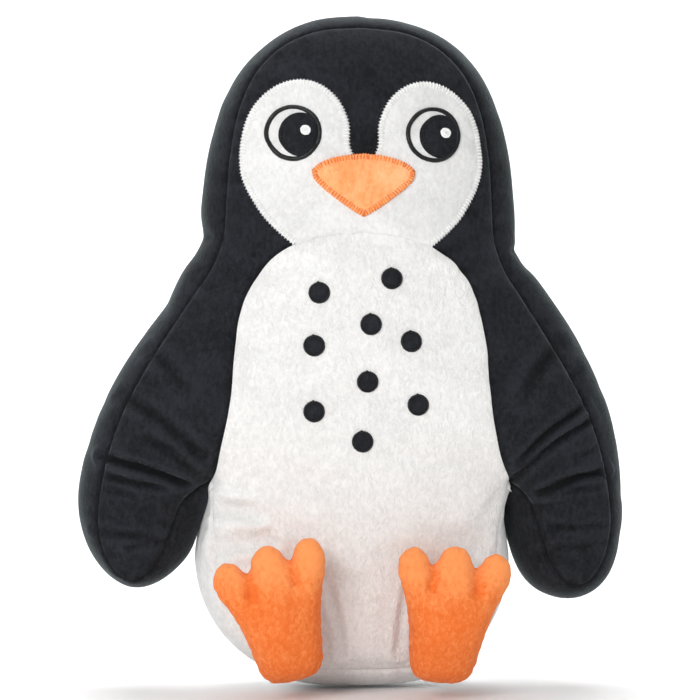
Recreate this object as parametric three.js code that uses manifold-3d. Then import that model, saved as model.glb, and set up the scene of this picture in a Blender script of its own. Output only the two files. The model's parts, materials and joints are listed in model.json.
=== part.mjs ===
/*
 * Plush penguin cushion in millimetres: head towards +Z, front towards -Y, standing on z = 0.
 *
 * The cover is a boxed cushion: panels in front and behind, and a gusset strip sewn all round
 * between them. It is stuffed with fibre. The face, beak, eyes and dots are sewn onto the front.
 * Each wing bends at a soft root, and each stuffed foot is sewn on at its heel.
 */
import * as THREE from 'three';
import { mergeVertices } from 'three/addons/utils/BufferGeometryUtils.js';
import Module from 'manifold-3d';

const wasm = await Module();
wasm.setup();

// ---------------------------------------------------------------- driving dimensions

const GAP = 0.3; // between pieces that touch
const MERGE_DISTANCE = 1e-4; // points closer than this are one point
const CLOTH = 1.2; // thickness of the plush cloth
const POINT_SPACING = 20; // between the points of a large outline

const SEAM_HALF = 30; // the front and back seams lie this far from the middle plane
const BULGE = 12; // the gusset stands this far outside its two seams
const PANEL_EDGE = { distance: 8, rise: 7 }; // rounding of the panels just inside the seams
// Crown of the stuffed body over the flat of the panels: [distance from the egg outline, rise].
const CROWN = [[0, -1], [12, 9], [38, 17]];
const BACK_CROWN_SHARE = 0.8; // the back is flatter than the belly

const WING_ROOT_INNER = 87.3; // the wing's soft root runs from here
const WING_ROOT_OUTER = 121.7; // to here
const WING_ROOT_TOP = 257;
const WING_ROOT_SLANT = 4; // its inner face leans out this far by its top
const SLIT_X = 94; // the slit between the wing and the lower body
const SLIT_TOP = 107;
const SLIT_RADIUS = 0.6;
const SLIT_BRIDGE = 1; // the wing root's inner part starts this far above the slit
const GUSSET_COLOUR_CHANGE = 200; // above it a gusset inside the wing roots is black

const FOOT_HALF_THICKNESS = 14;
const FOOT_BEVEL = 5; // in the plane of the sole
const FOOT_PIVOT_Y = -58;
const FOOT_PIVOT_Z = 23;
const FOOT_TILT = 12; // degrees that a foot leans forward off the belly
const FEET = {
  left: { x: -41, splay: -11 },
  right: { x: 46.5, splay: 7 },
};
const HEEL_SEAM = { halfWidth: 13, low: FOOT_PIVOT_Z - 2, high: FOOT_PIVOT_Z + 1 };

// Half outlines, [x, z], from the top on the right-hand side; the left is their mirror image.
const HEAD_AND_WING = [
  [0, 400], [28, 396], [55, 381.5], [75.5, 360], [86.5, 332], [91, 303], [92.5, 272],
  [97.5, 253], [108, 238], [122, 217.5], [136.5, 196], [147, 174], [154.5, 152], [160, 127],
  [161.8, 106], [159, 88], [152, 72], [139, 60.5], [125, 58.5], [110, 66], [100, 80],
  [95.6, 96], [SLIT_X + SLIT_RADIUS, SLIT_TOP],
];
const LOWER_BODY = [
  [SLIT_X - SLIT_RADIUS, SLIT_TOP], [93.4, 94], [93.3, 81], [91, 62], [85.5, 45], [75, 28],
  [60, 13], [42, 1.5], [22, -3.2], [0, -4],
];
const CROWN_EGG = [
  [0, 383], [30, 377], [52, 358], [63, 330], [66, 295], [66, 250], [66, 150], [66, 100],
  [61, 66], [44, 40], [22, 31], [0, 29],
];
const FACE = [
  [0, 303], [8, 316], [9, 331], [15.3, 344.8], [25, 353], [35.6, 355.7], [48, 353], [59, 344.8],
  [66, 333.5], [69.6, 318], [69.4, 303.4], [66.4, 294], [61.8, 285], [56.3, 276], [47.4, 266.7],
  [39.7, 260.3], [22, 252], [0, 249],
];
const BELLY = [
  [0, 268.2], [20, 266], [39.7, 260.3], [51.4, 252.9], [59.8, 243.7], [65.5, 234.5],
  [70.4, 220.7], [73.3, 202.3], [75, 174.7], [77.9, 156.3], [82.8, 137.9], [88.3, 120.7],
];
const BELLY_SKIRT = [[93.9, 115], [110, 60], [110, -40], [0, -40]]; // outside the front seam
const BEAK = [
  [0, 312.8], [14, 311.2], [25, 307.4], [29.6, 303.4], [28.6, 298.4], [22.4, 292], [8, 281],
  [0, 276.4],
];
const FOOT = [
  [0, 66], [6.5, 64], [10, 57], [11.5, 52.5], [15, 57], [22, 62], [28.5, 60], [31.3, 53],
  [28.5, 43], [22.5, 28], [19.8, 12], [18.5, -4], [12, -12.5], [0, -14.5],
];

// Eyes, mirrored in place; both pupils and highlights are set to the same side.
const EYE = { x: 40.4, z: 324.8, outer: 16.3, inner: 13.6 };
const PUPIL = { dx: 5, dz: -1, radius: 12.5 };
const HIGHLIGHT = { dx: 7.7, dz: 1.2, radius: 3.1 };

const DOT_RADIUS = 6;
const DOTS = [
  [16.5, 241.3], [-25.3, 232.7], [4.5, 214.8], [28.2, 205.2], [-28, 202.3], [3, 181.8],
  [32.4, 168.7], [-27.7, 164.5], [0.3, 147.4],
];

const PATCH = 1.2; // thickness of a sewn-on patch
const THREAD = 0.6; // thickness of a line of stitching
const STITCH_WIDTH = 2.2;
const LABEL = { x: -40, z: 60, width: 22, height: 30, thickness: 0.8 };
const CLOSING_SEAM = { halfLength: 45, inset: 1.5, width: 2 }; // beside the lower back seam
const FAR = 500; // past the object on every side

// ---------------------------------------------------------------- outlines

/** Points along a smooth curve through the corners of a half outline, about `spacing` apart. */
function smooth(corners, spacing) {
  const points = corners.map(([x, z]) => new THREE.Vector3(x, z, 0));
  const curve = new THREE.CatmullRomCurve3(points, false, 'centripetal');
  const steps = Math.max(2, Math.round(curve.getLength() / spacing));
  return curve.getSpacedPoints(steps).map((p) => new THREE.Vector2(p.x, p.y));
}

/** The closed outline, anticlockwise seen from the front, of a right half and its mirror image. */
function mirrored(half) {
  const left = half.map((p) => new THREE.Vector2(-p.x, p.y));
  const right = half.slice(1, -1).reverse();
  left[0].x = left[left.length - 1].x = 0;
  return [...left, ...right];
}

function circle(x, z, radius, count = 20) {
  return Array.from({ length: count }, (_, i) => {
    const angle = (2 * Math.PI * i) / count;
    return new THREE.Vector2(x + radius * Math.cos(angle), z + radius * Math.sin(angle));
  });
}

function rectangle(left, right, low, high) {
  return [[left, low], [right, low], [right, high], [left, high]].map(
    ([x, z]) => new THREE.Vector2(x, z),
  );
}

/** The outline moved inwards by a distance, or outwards by a negative one. */
function inset(outline, distance) {
  return outline.map((p, i) => {
    const before = outline.at(i - 1);
    const after = outline[(i + 1) % outline.length];
    const along = p.clone().sub(before).normalize().add(after.clone().sub(p).normalize());
    const inward = new THREE.Vector2(-along.y, along.x).normalize();
    return p.clone().addScaledVector(inward, distance);
  });
}

const slitEnd = [135, 90, 45].map((degrees) => {
  const angle = THREE.MathUtils.degToRad(degrees);
  return new THREE.Vector2(
    SLIT_X + SLIT_RADIUS * Math.cos(angle),
    SLIT_TOP + SLIT_RADIUS * Math.sin(angle),
  );
});
const bodyOutline = mirrored([
  ...smooth(HEAD_AND_WING, POINT_SPACING),
  ...slitEnd.reverse(),
  ...smooth(LOWER_BODY, POINT_SPACING),
]);
const crownOutline = mirrored(smooth(CROWN_EGG, 1.5 * POINT_SPACING));
const faceOutline = mirrored(smooth(FACE, POINT_SPACING / 2));
const bellyOutline = mirrored([
  ...smooth(BELLY, POINT_SPACING),
  ...BELLY_SKIRT.map(([x, z]) => new THREE.Vector2(x, z)),
]);
const beakOutline = mirrored(smooth(BEAK, POINT_SPACING / 3));
const footOutline = mirrored(FOOT.map(([x, z]) => new THREE.Vector2(x, z)));

// ---------------------------------------------------------------- solids

/** A manifold solid through rings of equally many points, from the front one to the back one. */
function loft(rings) {
  const count = rings[0].points.length;
  const positions = rings.flatMap(({ points, y }) => points.flatMap((p) => [p.x, y, p.y]));
  const faces = [];
  rings.slice(1).forEach((_, k) => {
    for (let i = 0; i < count; i += 1) {
      const a = k * count + i;
      const d = k * count + ((i + 1) % count);
      faces.push([a, a + count, d + count], [a, d + count, d]);
    }
  });
  const last = (rings.length - 1) * count;
  for (const [a, b, c] of THREE.ShapeUtils.triangulateShape(rings[0].points, [])) {
    faces.push([a, b, c]);
  }
  for (const [a, b, c] of THREE.ShapeUtils.triangulateShape(rings.at(-1).points, [])) {
    faces.push([last + a, last + c, last + b]);
  }
  return new wasm.Manifold(
    new wasm.Mesh({
      numProp: 3,
      vertProperties: new Float32Array(positions),
      triVerts: new Uint32Array(faces.flat()),
    }),
  );
}

/** A straight column along Y over an outline. */
function column(points, front = -FAR, back = FAR) {
  return loft([{ points, y: front }, { points, y: back }]);
}

function box(left, right, front, back, low, high) {
  return column(rectangle(left, right, low, high), front, back);
}

/** Rings round a bulging edge strip whose surface lies `depth` inside the outer one. */
function edgeRings(outline, bulge, half, depth) {
  return [-90, -45, 0, 45, 90].map((degrees) => {
    const angle = THREE.MathUtils.degToRad(degrees);
    return {
      points: inset(outline, bulge - (bulge - depth) * Math.cos(angle)),
      y: (half - depth) * Math.sin(angle),
    };
  });
}

/** One side's crown: side is -1 for the front and 1 for the back. */
function crown(side, depth) {
  const flat = SEAM_HALF + PANEL_EDGE.rise;
  const share = side < 0 ? 1 : BACK_CROWN_SHARE;
  const rings = CROWN.map(([distance, rise]) => ({
    points: inset(crownOutline, distance + depth / 2),
    y: side * (flat + rise * share - depth),
  }));
  const root = { points: rings[0].points, y: 0 };
  return loft(side < 0 ? [...rings.reverse(), root] : [root, ...rings]);
}

/** The whole stuffed body whose surface lies `depth` inside the cover's outer surface. */
function body(depth) {
  const panelRing = (side) => ({
    points: inset(bodyOutline, BULGE + PANEL_EDGE.distance),
    y: side * (SEAM_HALF + PANEL_EDGE.rise - depth),
  });
  const rings = [
    panelRing(-1),
    ...edgeRings(bodyOutline, BULGE, SEAM_HALF, depth),
    panelRing(1),
  ];
  const whole = loft(rings).add(crown(-1, depth)).add(crown(1, depth));
  return whole.intersect(box(-FAR, FAR, -FAR, FAR, depth, FAR));
}

/** The layer over the body from `lift` above the cover to `lift + thickness`. */
function layer(lift, thickness) {
  return body(-lift - thickness).subtract(body(-lift));
}

const foot = (depth) => loft(edgeRings(footOutline, FOOT_BEVEL, FOOT_HALF_THICKNESS, depth));

// ---------------------------------------------------------------- regions of the body

const frontSeam = inset(bodyOutline, BULGE);
const beforeMiddle = (points) => column(points, -FAR, 0);
const behindMiddle = (points) => column(points, 0, FAR);

const wingRootOutline = [
  [SLIT_X + GAP, -FAR], [WING_ROOT_OUTER, -FAR], [WING_ROOT_OUTER, WING_ROOT_TOP],
  [WING_ROOT_INNER + WING_ROOT_SLANT, WING_ROOT_TOP],
  [WING_ROOT_INNER, SLIT_TOP + SLIT_BRIDGE], [SLIT_X + GAP, SLIT_TOP + SLIT_BRIDGE],
].map(([x, z]) => new THREE.Vector2(x, z));

const mirrorX = (points) => points.map((p) => new THREE.Vector2(-p.x, p.y)).reverse();
const wingRootColumns = {
  right: (grow) => column(inset(wingRootOutline, -grow)),
  left: (grow) => column(inset(mirrorX(wingRootOutline), -grow)),
};
const wingColumns = {
  right: box(WING_ROOT_OUTER + GAP, FAR, -FAR, FAR, -FAR, FAR),
  left: box(-FAR, -WING_ROOT_OUTER - GAP, -FAR, FAR, -FAR, FAR),
};
const torsoColumn = box(-WING_ROOT_OUTER, WING_ROOT_OUTER, -FAR, FAR, -FAR, FAR)
  .subtract(wingRootColumns.left(2 * GAP))
  .subtract(wingRootColumns.right(2 * GAP));

const skin = body(0).subtract(body(CLOTH));
const filling = body(CLOTH + GAP);
const frontSkin = skin.intersect(beforeMiddle(frontSeam));
const backSkin = skin.intersect(behindMiddle(frontSeam));
const gusset = skin.subtract(column(inset(frontSeam, -GAP)));

// ---------------------------------------------------------------- materials

const cloth = (color, roughness = 0.95) =>
  new THREE.MeshStandardMaterial({ color, roughness, metalness: 0 });
const blackPlush = cloth(0x25282d);
const whitePlush = cloth(0xf2f1ee);
const orangePlush = cloth(0xf0803a);
const blackThread = cloth(0x17191c, 0.6);
const whiteThread = cloth(0xf7f7f5, 0.6);
const orangeThread = cloth(0xe8741f, 0.6);
const fibre = cloth(0xfafafa, 1);
const satin = cloth(0xffffff, 0.5);

/** A named mesh of a manifold solid. Slivers that a cut leaves beside the piece are dropped. */
function piece(name, material, solid) {
  const largest = solid.decompose().sort((a, b) => b.volume() - a.volume())[0];
  const { numProp, vertProperties, triVerts } = largest.getMesh();
  const geometry = new THREE.BufferGeometry();
  const points = new THREE.BufferAttribute(new Float32Array(vertProperties), numProp);
  geometry.setAttribute('position', points);
  geometry.setIndex(new THREE.BufferAttribute(new Uint32Array(triVerts), 1));
  const mesh = new THREE.Mesh(mergeVertices(geometry, MERGE_DISTANCE), material);
  mesh.name = name;
  return mesh;
}

// ---------------------------------------------------------------- the body's cover and filling

function torsoPieces() {
  const belly = beforeMiddle(bellyOutline);
  const aroundBelly = beforeMiddle(inset(bellyOutline, -GAP));
  const torsoGusset = gusset.intersect(torsoColumn);
  const above = box(-FAR, FAR, -FAR, FAR, GUSSET_COLOUR_CHANGE, FAR);
  return [
    piece('body_filling', fibre, filling.intersect(torsoColumn)),
    piece('hood_front_panel', blackPlush,
      frontSkin.intersect(torsoColumn).subtract(aroundBelly)),
    piece('belly_panel', whitePlush, frontSkin.intersect(torsoColumn).intersect(belly)),
    piece('back_panel', blackPlush, backSkin.intersect(torsoColumn)),
    piece('head_gusset', blackPlush, torsoGusset.intersect(above)),
    piece('lower_gusset', whitePlush, torsoGusset.subtract(above)),
  ];
}

function wingPieces(side) {
  const wing = wingColumns[side];
  return [
    piece(`${side}_wing_root`, blackPlush, body(0).intersect(wingRootColumns[side](0))),
    piece(`${side}_wing_filling`, fibre, filling.intersect(wing)),
    piece(`${side}_wing_front_panel`, blackPlush, frontSkin.intersect(wing)),
    piece(`${side}_wing_back_panel`, blackPlush, backSkin.intersect(wing)),
    piece(`${side}_wing_gusset`, blackPlush, gusset.intersect(wing)),
  ];
}

// ---------------------------------------------------------------- sewn-on pieces

function facePieces() {
  const patchLayer = layer(GAP, PATCH);
  const onPatch = 2 * GAP + PATCH; // lift of what is sewn onto the face patch
  const upperLayer = layer(onPatch, PATCH);
  const stitchLayer = layer(onPatch, THREAD);
  const onUpper = onPatch + PATCH + GAP;
  const belowFace = beforeMiddle(inset(bellyOutline, -GAP));
  const beakShape = beforeMiddle(beakOutline);
  const eyeShapes = [-EYE.x, EYE.x].map((x) => beforeMiddle(circle(x, EYE.z, EYE.outer + GAP)));
  const faceEdge = beforeMiddle(inset(faceOutline, GAP))
    .subtract(beforeMiddle(inset(faceOutline, STITCH_WIDTH)))
    .subtract(belowFace)
    .subtract(beforeMiddle(inset(beakOutline, -GAP)));
  const faceStitching = stitchLayer.intersect(faceEdge)
    .subtract(eyeShapes[0])
    .subtract(eyeShapes[1]);
  const beakEdge = beakShape.subtract(beforeMiddle(inset(beakOutline, STITCH_WIDTH)));
  const pieces = [
    piece('face_patch', whitePlush,
      patchLayer.intersect(beforeMiddle(faceOutline)).subtract(belowFace)),
    piece('left_face_stitching', whiteThread,
      faceStitching.intersect(box(-FAR, 0, -FAR, FAR, -FAR, FAR))),
    piece('right_face_stitching', whiteThread,
      faceStitching.intersect(box(0, FAR, -FAR, FAR, -FAR, FAR))),
    piece('beak_patch', orangePlush, upperLayer.intersect(beakShape)),
    piece('beak_stitching', orangeThread, layer(onUpper, THREAD).intersect(beakEdge)),
  ];
  for (const [side, x] of [['left', -EYE.x], ['right', EYE.x]]) {
    const inner = beforeMiddle(circle(x, EYE.z, EYE.inner));
    const within = beforeMiddle(circle(x, EYE.z, EYE.inner - GAP));
    const pupil = beforeMiddle(circle(x + PUPIL.dx, EYE.z + PUPIL.dz, PUPIL.radius));
    const spot = circle(x + HIGHLIGHT.dx, EYE.z + HIGHLIGHT.dz, HIGHLIGHT.radius, 12);
    pieces.push(
      piece(`${side}_eye_ring`, blackThread,
        upperLayer.intersect(beforeMiddle(circle(x, EYE.z, EYE.outer))).subtract(inner)),
      piece(`${side}_pupil`, blackThread, upperLayer.intersect(pupil.intersect(within))),
      piece(`${side}_eye_highlight`, whiteThread,
        layer(onUpper, THREAD).intersect(beforeMiddle(spot))),
    );
  }
  return pieces;
}

function bellyDots() {
  const dotLayer = layer(GAP, PATCH);
  return DOTS.map(([x, z], i) =>
    piece(`belly_dot_${i + 1}`, blackPlush,
      dotLayer.intersect(beforeMiddle(circle(x, z, DOT_RADIUS, 12)))));
}

function backPieces() {
  const { x, z, width, height, thickness } = LABEL;
  const labelShape = rectangle(x - width / 2, x + width / 2, z - height / 2, z + height / 2);
  const { halfLength, inset: start, width: seamWidth } = CLOSING_SEAM;
  const seamBand = behindMiddle(inset(frontSeam, start))
    .subtract(behindMiddle(inset(frontSeam, start + seamWidth)))
    .intersect(box(-halfLength, halfLength, 0, FAR, 0, halfLength));
  return [
    piece('care_label', satin, layer(GAP, thickness).intersect(behindMiddle(labelShape))),
    piece('closing_seam', blackThread, layer(GAP, THREAD).intersect(seamBand)),
  ];
}

// ---------------------------------------------------------------- feet

/** The gathered end of a foot's cloth, from the body's front seam to the back of the heel. */
function heelSeam(side) {
  const { halfWidth, low, high } = HEEL_SEAM;
  const { x } = FEET[side];
  const strip = box(x - halfWidth, x + halfWidth, FOOT_PIVOT_Y, -SEAM_HALF, low, high);
  const placedFoot = foot(-GAP).transform(footMatrix(side).toArray());
  return piece(`${side}_heel_seam`, orangePlush, strip.subtract(body(-GAP)).subtract(placedFoot));
}

function footMatrix(side) {
  const { x, splay } = FEET[side];
  const turn = new THREE.Euler(
    THREE.MathUtils.degToRad(FOOT_TILT), THREE.MathUtils.degToRad(splay), 0, 'XYZ');
  return new THREE.Matrix4().compose(
    new THREE.Vector3(x, FOOT_PIVOT_Y, FOOT_PIVOT_Z),
    new THREE.Quaternion().setFromEuler(turn),
    new THREE.Vector3(1, 1, 1),
  );
}

function footGroup(side) {
  const cover = foot(0).subtract(foot(CLOTH));
  const group = new THREE.Group();
  group.add(
    piece(`${side}_foot_filling`, fibre, foot(CLOTH + GAP)),
    piece(`${side}_foot_sole_panel`, orangePlush,
      cover.intersect(box(-FAR, FAR, -FAR, -GAP / 2, -FAR, FAR))),
    piece(`${side}_foot_top_panel`, orangePlush,
      cover.intersect(box(-FAR, FAR, GAP / 2, FAR, -FAR, FAR))),
  );
  group.applyMatrix4(footMatrix(side));
  return group;
}

// ---------------------------------------------------------------- the penguin

const penguin = new THREE.Group();
penguin.add(
  ...torsoPieces(),
  ...facePieces(),
  ...bellyDots(),
  ...backPieces(),
  ...['left', 'right'].flatMap((side) => [...wingPieces(side), heelSeam(side), footGroup(side)]),
);

// The origin is the middle of the bottom of the whole penguin's box.
const bounds = new THREE.Box3().setFromObject(penguin, true);
const middle = bounds.getCenter(new THREE.Vector3());
penguin.position.set(-middle.x, -middle.y, -bounds.min.z);

export default penguin;
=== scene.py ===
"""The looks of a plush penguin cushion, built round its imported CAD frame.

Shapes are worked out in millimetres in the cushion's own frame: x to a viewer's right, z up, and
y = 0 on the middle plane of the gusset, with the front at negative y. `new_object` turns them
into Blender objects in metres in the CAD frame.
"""
import json
import math

import bpy
import numpy as np
from mathutils import Matrix, Vector
from mathutils.bvhtree import BVHTree
from mathutils.geometry import barycentric_transform, delaunay_2d_cdt
from mathutils.kdtree import KDTree


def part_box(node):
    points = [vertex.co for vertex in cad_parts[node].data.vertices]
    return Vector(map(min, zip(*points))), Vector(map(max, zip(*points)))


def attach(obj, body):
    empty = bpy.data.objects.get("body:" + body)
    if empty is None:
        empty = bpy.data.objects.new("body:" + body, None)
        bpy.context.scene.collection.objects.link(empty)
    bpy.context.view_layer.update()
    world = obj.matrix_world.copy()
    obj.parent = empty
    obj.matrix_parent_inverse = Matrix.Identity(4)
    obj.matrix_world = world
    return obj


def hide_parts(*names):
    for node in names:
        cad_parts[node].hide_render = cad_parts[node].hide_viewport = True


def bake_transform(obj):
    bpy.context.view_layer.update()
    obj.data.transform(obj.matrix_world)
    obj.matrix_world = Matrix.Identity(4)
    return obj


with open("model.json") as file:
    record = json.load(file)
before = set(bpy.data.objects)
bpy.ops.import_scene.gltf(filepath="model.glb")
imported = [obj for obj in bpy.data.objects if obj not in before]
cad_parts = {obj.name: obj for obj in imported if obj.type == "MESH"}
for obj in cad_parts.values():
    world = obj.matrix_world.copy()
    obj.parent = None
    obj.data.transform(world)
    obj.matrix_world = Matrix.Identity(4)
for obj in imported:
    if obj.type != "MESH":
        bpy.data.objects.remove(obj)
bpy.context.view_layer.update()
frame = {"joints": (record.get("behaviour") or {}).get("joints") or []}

MM = 0.001
JOINTS = {joint["name"]: joint for joint in frame["joints"]}
SIDES = {"left": -1, "right": 1}

# ---------------- driving sizes, in millimetres

MIDDLE_Y = JOINTS["left_wing_flap"]["pos_m"][1] / MM
HOME = np.array([0, MIDDLE_Y, 0])
FLOOR_GAP = 0.3  # the lowest that the cloth comes
CLOTH_SPACING = 4.0  # between the cloth's points before it is subdivided

SEAM_HALF = 27.0  # the front and back seams lie this far from the middle plane
GUSSET_ROWS = 12
FRONT_CROWN = 26.5
BACK_CROWN = 20.5
CROWN_REACH = 32.0  # the crown levels off this far in from the seams
CROWN_POWER = 0.78
GUSSET_POWER = 0.7  # how boxy the stuffed gusset is from front to back
EDGE_RINGS = (1.5, 3.6)  # rows of points this far inside the seams

STUFFING_PRESSURE = 4.0
STUFFING_FRAMES = 20
STUFFING_CAP = 2.0  # how far the simulation's wrinkles may move the cloth
WRINKLE_SMOOTHING = 60
CLOTH_EASE = 0.03  # how much larger the cloth is than the shape its seams hold
SETTLED = 12.0  # from here inwards a panel has its full wrinkles
GUSSET_WRINKLES = 0.35  # the gusset's wrinkles beside the panels'

# Half of the front seam, [x, z] on the right-hand side, from the top to the armpit and down.
HEAD_AND_WING_SEAM = [
    [0, 389], [25, 386.5], [45, 378], [61, 362.5], [71, 341], [76.5, 313], [78.5, 285], [80, 265],
    [86, 248], [97, 231], [112, 208], [126, 185], [137, 163], [145, 140], [150, 115], [151, 98],
    [147, 80.5], [139, 68.5], [130, 65], [121, 70], [113, 82.5], [107.5, 98], [102, 112.5],
    [96, 119.5], [90, 123],
]
LOWER_SEAM = [
    [90, 123], [87.5, 112], [84, 96], [82.5, 75], [79, 55], [71, 38], [58, 24], [42, 16],
    [22, 13.2], [0, 12.8],
]
BELLY_EDGE = [
    [0, 268.2], [20, 266], [39.7, 260.3], [51.4, 252.9], [59.8, 243.7], [65.5, 234.5],
    [70.4, 220.7], [73.3, 202.3], [75, 174.7], [77.9, 156.3], [82.8, 137.9], [90, 123],
]
# How far the stuffed gusset stands outside its seams, [x, z, distance], clockwise from the top.
BULGE = [
    [0, 389, 10.2], [24, 387, 8.9], [62, 361, 12], [76, 315, 15.5], [79, 276, 17.5],
    [80, 266, 18], [85, 252, 14.5], [91, 239, 17.5], [114, 205, 19], [137, 163, 17],
    [150, 117, 12], [150, 94, 10.4], [142, 72, 12], [130, 65, 9], [120, 72, 16.5],
    [110, 92, 16], [104, 110, 17], [88, 115, 13],
    [82, 68, 11.5], [71, 38, 10.5], [42, 16, 11.5], [0, 12.8, 12.6], [-32, 14, 11],
    [-54, 22, 6.8], [-80, 60, 10.6], [-88, 115, 13], [-104, 110, 17], [-110, 92, 19], [-117, 76, 13],
    [-136, 66, 4], [-149, 86, 8.5], [-150, 115, 12.6], [-130, 178, 11.6], [-105, 218, 9.2],
    [-90, 241, 13.8], [-81, 262, 10.5], [-79, 277, 14], [-77, 305, 12], [-66, 354, 8.4],
    [-52, 373, 7], [-31, 385, 8.4],
]
SLIT_FILLED = 0.94  # of the slit under each wing
BODY_SHARE = 0.34  # of that slit, for the body's gusset
SHARE_RISE = 30.0  # over which the body's share grows, down from the armpit
RIGHT_WING_DROP = 3.2  # the right wing hangs this much lower than the left
DROP_FROM, DROP_OVER = 150.0, 80.0
LEFT_TUCK = 4.5  # how far in the left armpit is pulled
TUCK_REACH = 14.0
NECK = [80, 265]
ARMPIT = [90, 123]
SEAM_STEP = 1.5
PUCKER = {"height": 0.35, "length": 13.0, "from_seam": 5.0}
GROOVE = {"depth": 0.8, "width": 1.3}
BELLY_GROOVE = {"depth": 0.9, "width": 1.6}

FACE_EDGE = [
    [0, 303], [8, 316], [9, 331], [15.3, 344.8], [25, 353], [35.6, 355.9], [48, 353.4],
    [59.4, 345.2], [66.6, 333.5], [70.2, 318], [70.2, 303.4], [67.2, 293.6], [62.3, 284.6],
    [56.4, 275.6], [47.2, 266.2], [39.6, 259.9],
]
FACE_BOTTOM = [[39.6, 259.9], [20, 265.4], [0, 267.5]]  # along the top of the belly panel
BEAK_TOP = [[0, 312.8], [14, 311.2], [25, 307.4], [29.6, 303.4]]
BEAK_BOTTOM = [[29.6, 303.4], [28.6, 298.4], [22.4, 292], [8, 281], [0, 276.4]]
FACE_THICKNESS = 1.3
FACE_HOLES = 3.2  # the row of needle holes is this far inside the edge
BEAK_THICKNESS = 1.5
BEAK_HOLES = 3.1

FACE_STITCH = {"spacing": 2.0, "outside": 0.7, "length": 4.0, "radius": 0.3}
BEAK_STITCH = {"spacing": 1.75, "outside": 0.7, "length": 3.9, "radius": 0.34}
PUPIL_STITCH = {"spacing": 1.1, "outside": 0.5, "length": 2.9, "radius": 0.2}
CLOSING_STITCH = {"spacing": 3.6, "outside": 0.2, "length": 3.2, "radius": 0.32}
SATIN_SPACING = 0.55
SATIN_RIDGE = 0.07
SATIN_ROWS = 6

EYE = {"x": 40.4, "z": 324.8, "outer": 16.3, "inner": 13.4}
PUPIL = {"dx": 4.3, "dz": -1.0, "radius": 12.5}
HIGHLIGHT = {"dx": 6.9, "dz": 1.2, "radius": 3.0}
PUPIL_HOLES = 2.4
DOT_RADIUS = 6.3
DOT_CLOTH = 4.8  # the bare cloth's radius, inside the satin edge
DOTS = [
    [16.5, 241.3], [-25.3, 232.7], [4.5, 214.8], [28.2, 205.2], [-28, 202.3], [3, 181.8],
    [32.4, 168.7], [-27.7, 164.5], [0.3, 147.4],
]

# Half of a foot's seam, [x, height above the pivot], from the middle toe round to the heel.
FOOT_EDGE = [
    [0, 67.5], [4.6, 66.4], [8, 63.2], [10, 59], [11.2, 56.2], [12.2, 55.4], [13.8, 56.6],
    [16.7, 61.4], [20.5, 64.4], [24.8, 65], [29, 63], [32.2, 58.4], [32.8, 52.4], [31, 46],
    [27.8, 38.5], [24.6, 29], [21.6, 15], [19.8, 2], [18, -6.5], [13.4, -12.2], [6, -14],
    [0, -14.2],
]
FOOT_SPACING = 2.1
FOOT_CROWN = 16.5
FOOT_POWER = 0.52
FOOT_REACH = 10.0
FOOT_BACK = 0.8  # its back is this much as full as its front
FOOT_BOW = 5.0  # how far its middle bows forward of its heel and toes
FOOT_TILT = 12.0
FOOT_SPLAY = {"left": -13.5, "right": 5.0}
FOOT_SHIFT = {"left": 0.4, "right": -0.2}
FOOT_RISE = {"left": 1.9, "right": 0.6}
FOOT_SLANT = {"left": 0.08, "right": 0.0}  # how much higher the inner toe reaches
NOTCH_X, NOTCH_TOP, NOTCH_BOTTOM = 12.2, 54.0, 46.0
NOTCH_DEPTH, NOTCH_WIDTH = 5.5, 3.3

TUFT_THREADS = 4
GATHER_POINTS = 28  # round each heel's gathered end
GATHER_ROWS = 7
GATHER_FOLDS = 7
GATHER_HEIGHT = {"foot": 9.0, "body": 6.0}  # half of its height at each end
GATHER_OVERLAP = {"foot": 5.0, "body": 6.0}  # how far it runs into each
GATHER_WAIST = 0.14
GATHER_RIPPLE = 0.05

LABEL_COLUMNS, LABEL_ROWS = 17, 23
LABEL_LAYERS = (0.35, 1.0)
LABEL_CURL = 2.6
CLOSING_INSET = 1.2

CAMERA_DISTANCE = 1.4  # metres
VIEW_WIDTH = 0.4172  # metres across the picture at the cushion's middle plane
CAMERA_TURN, CAMERA_ROLL = math.radians(-5.5), math.radians(0.5)
SENSOR_WIDTH = 36
FLOOR_FRONT, FLOOR_BACK, FLOOR_SIDE = 2.5, 1.0, 4.0
FLOOR_BEND, BACKDROP_HEIGHT = 0.8, 3.5

# ---------------- outlines and flat meshes


def resample(points, spacing):
    """The polyline with evenly spaced points, about `spacing` apart."""
    along = np.concatenate([[0], np.cumsum(np.linalg.norm(np.diff(points, axis=0), axis=1))])
    steps = max(2, round(along[-1] / spacing))
    wanted = np.linspace(0, along[-1], steps + 1)
    return np.stack([np.interp(wanted, along, points[:, k]) for k in range(points.shape[1])], 1)


def smooth_line(corners, spacing):
    """Evenly spaced points on a centripetal Catmull-Rom curve through the corners."""
    p = np.array(corners, float)
    p = np.vstack([2 * p[0] - p[1], p, 2 * p[-1] - p[-2]])
    pieces = []
    for a, b, c, d in zip(p, p[1:], p[2:], p[3:]):
        chords = [np.linalg.norm(b - a), np.linalg.norm(c - b), np.linalg.norm(d - c)]
        t0, t1, t2, t3 = np.concatenate([[0], np.cumsum(np.sqrt(chords))])
        t = np.linspace(t1, t2, 24, endpoint=False)[:, None]
        ab = (a * (t1 - t) + b * (t - t0)) / (t1 - t0)
        bc = (b * (t2 - t) + c * (t - t1)) / (t2 - t1)
        cd = (c * (t3 - t) + d * (t - t2)) / (t3 - t2)
        abc = (ab * (t2 - t) + bc * (t - t0)) / (t2 - t0)
        bcd = (bc * (t3 - t) + cd * (t - t1)) / (t3 - t1)
        pieces.append((abc * (t2 - t) + bcd * (t - t1)) / (t2 - t1))
    return resample(np.vstack([*pieces, p[-2:-1]]), spacing)


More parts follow.
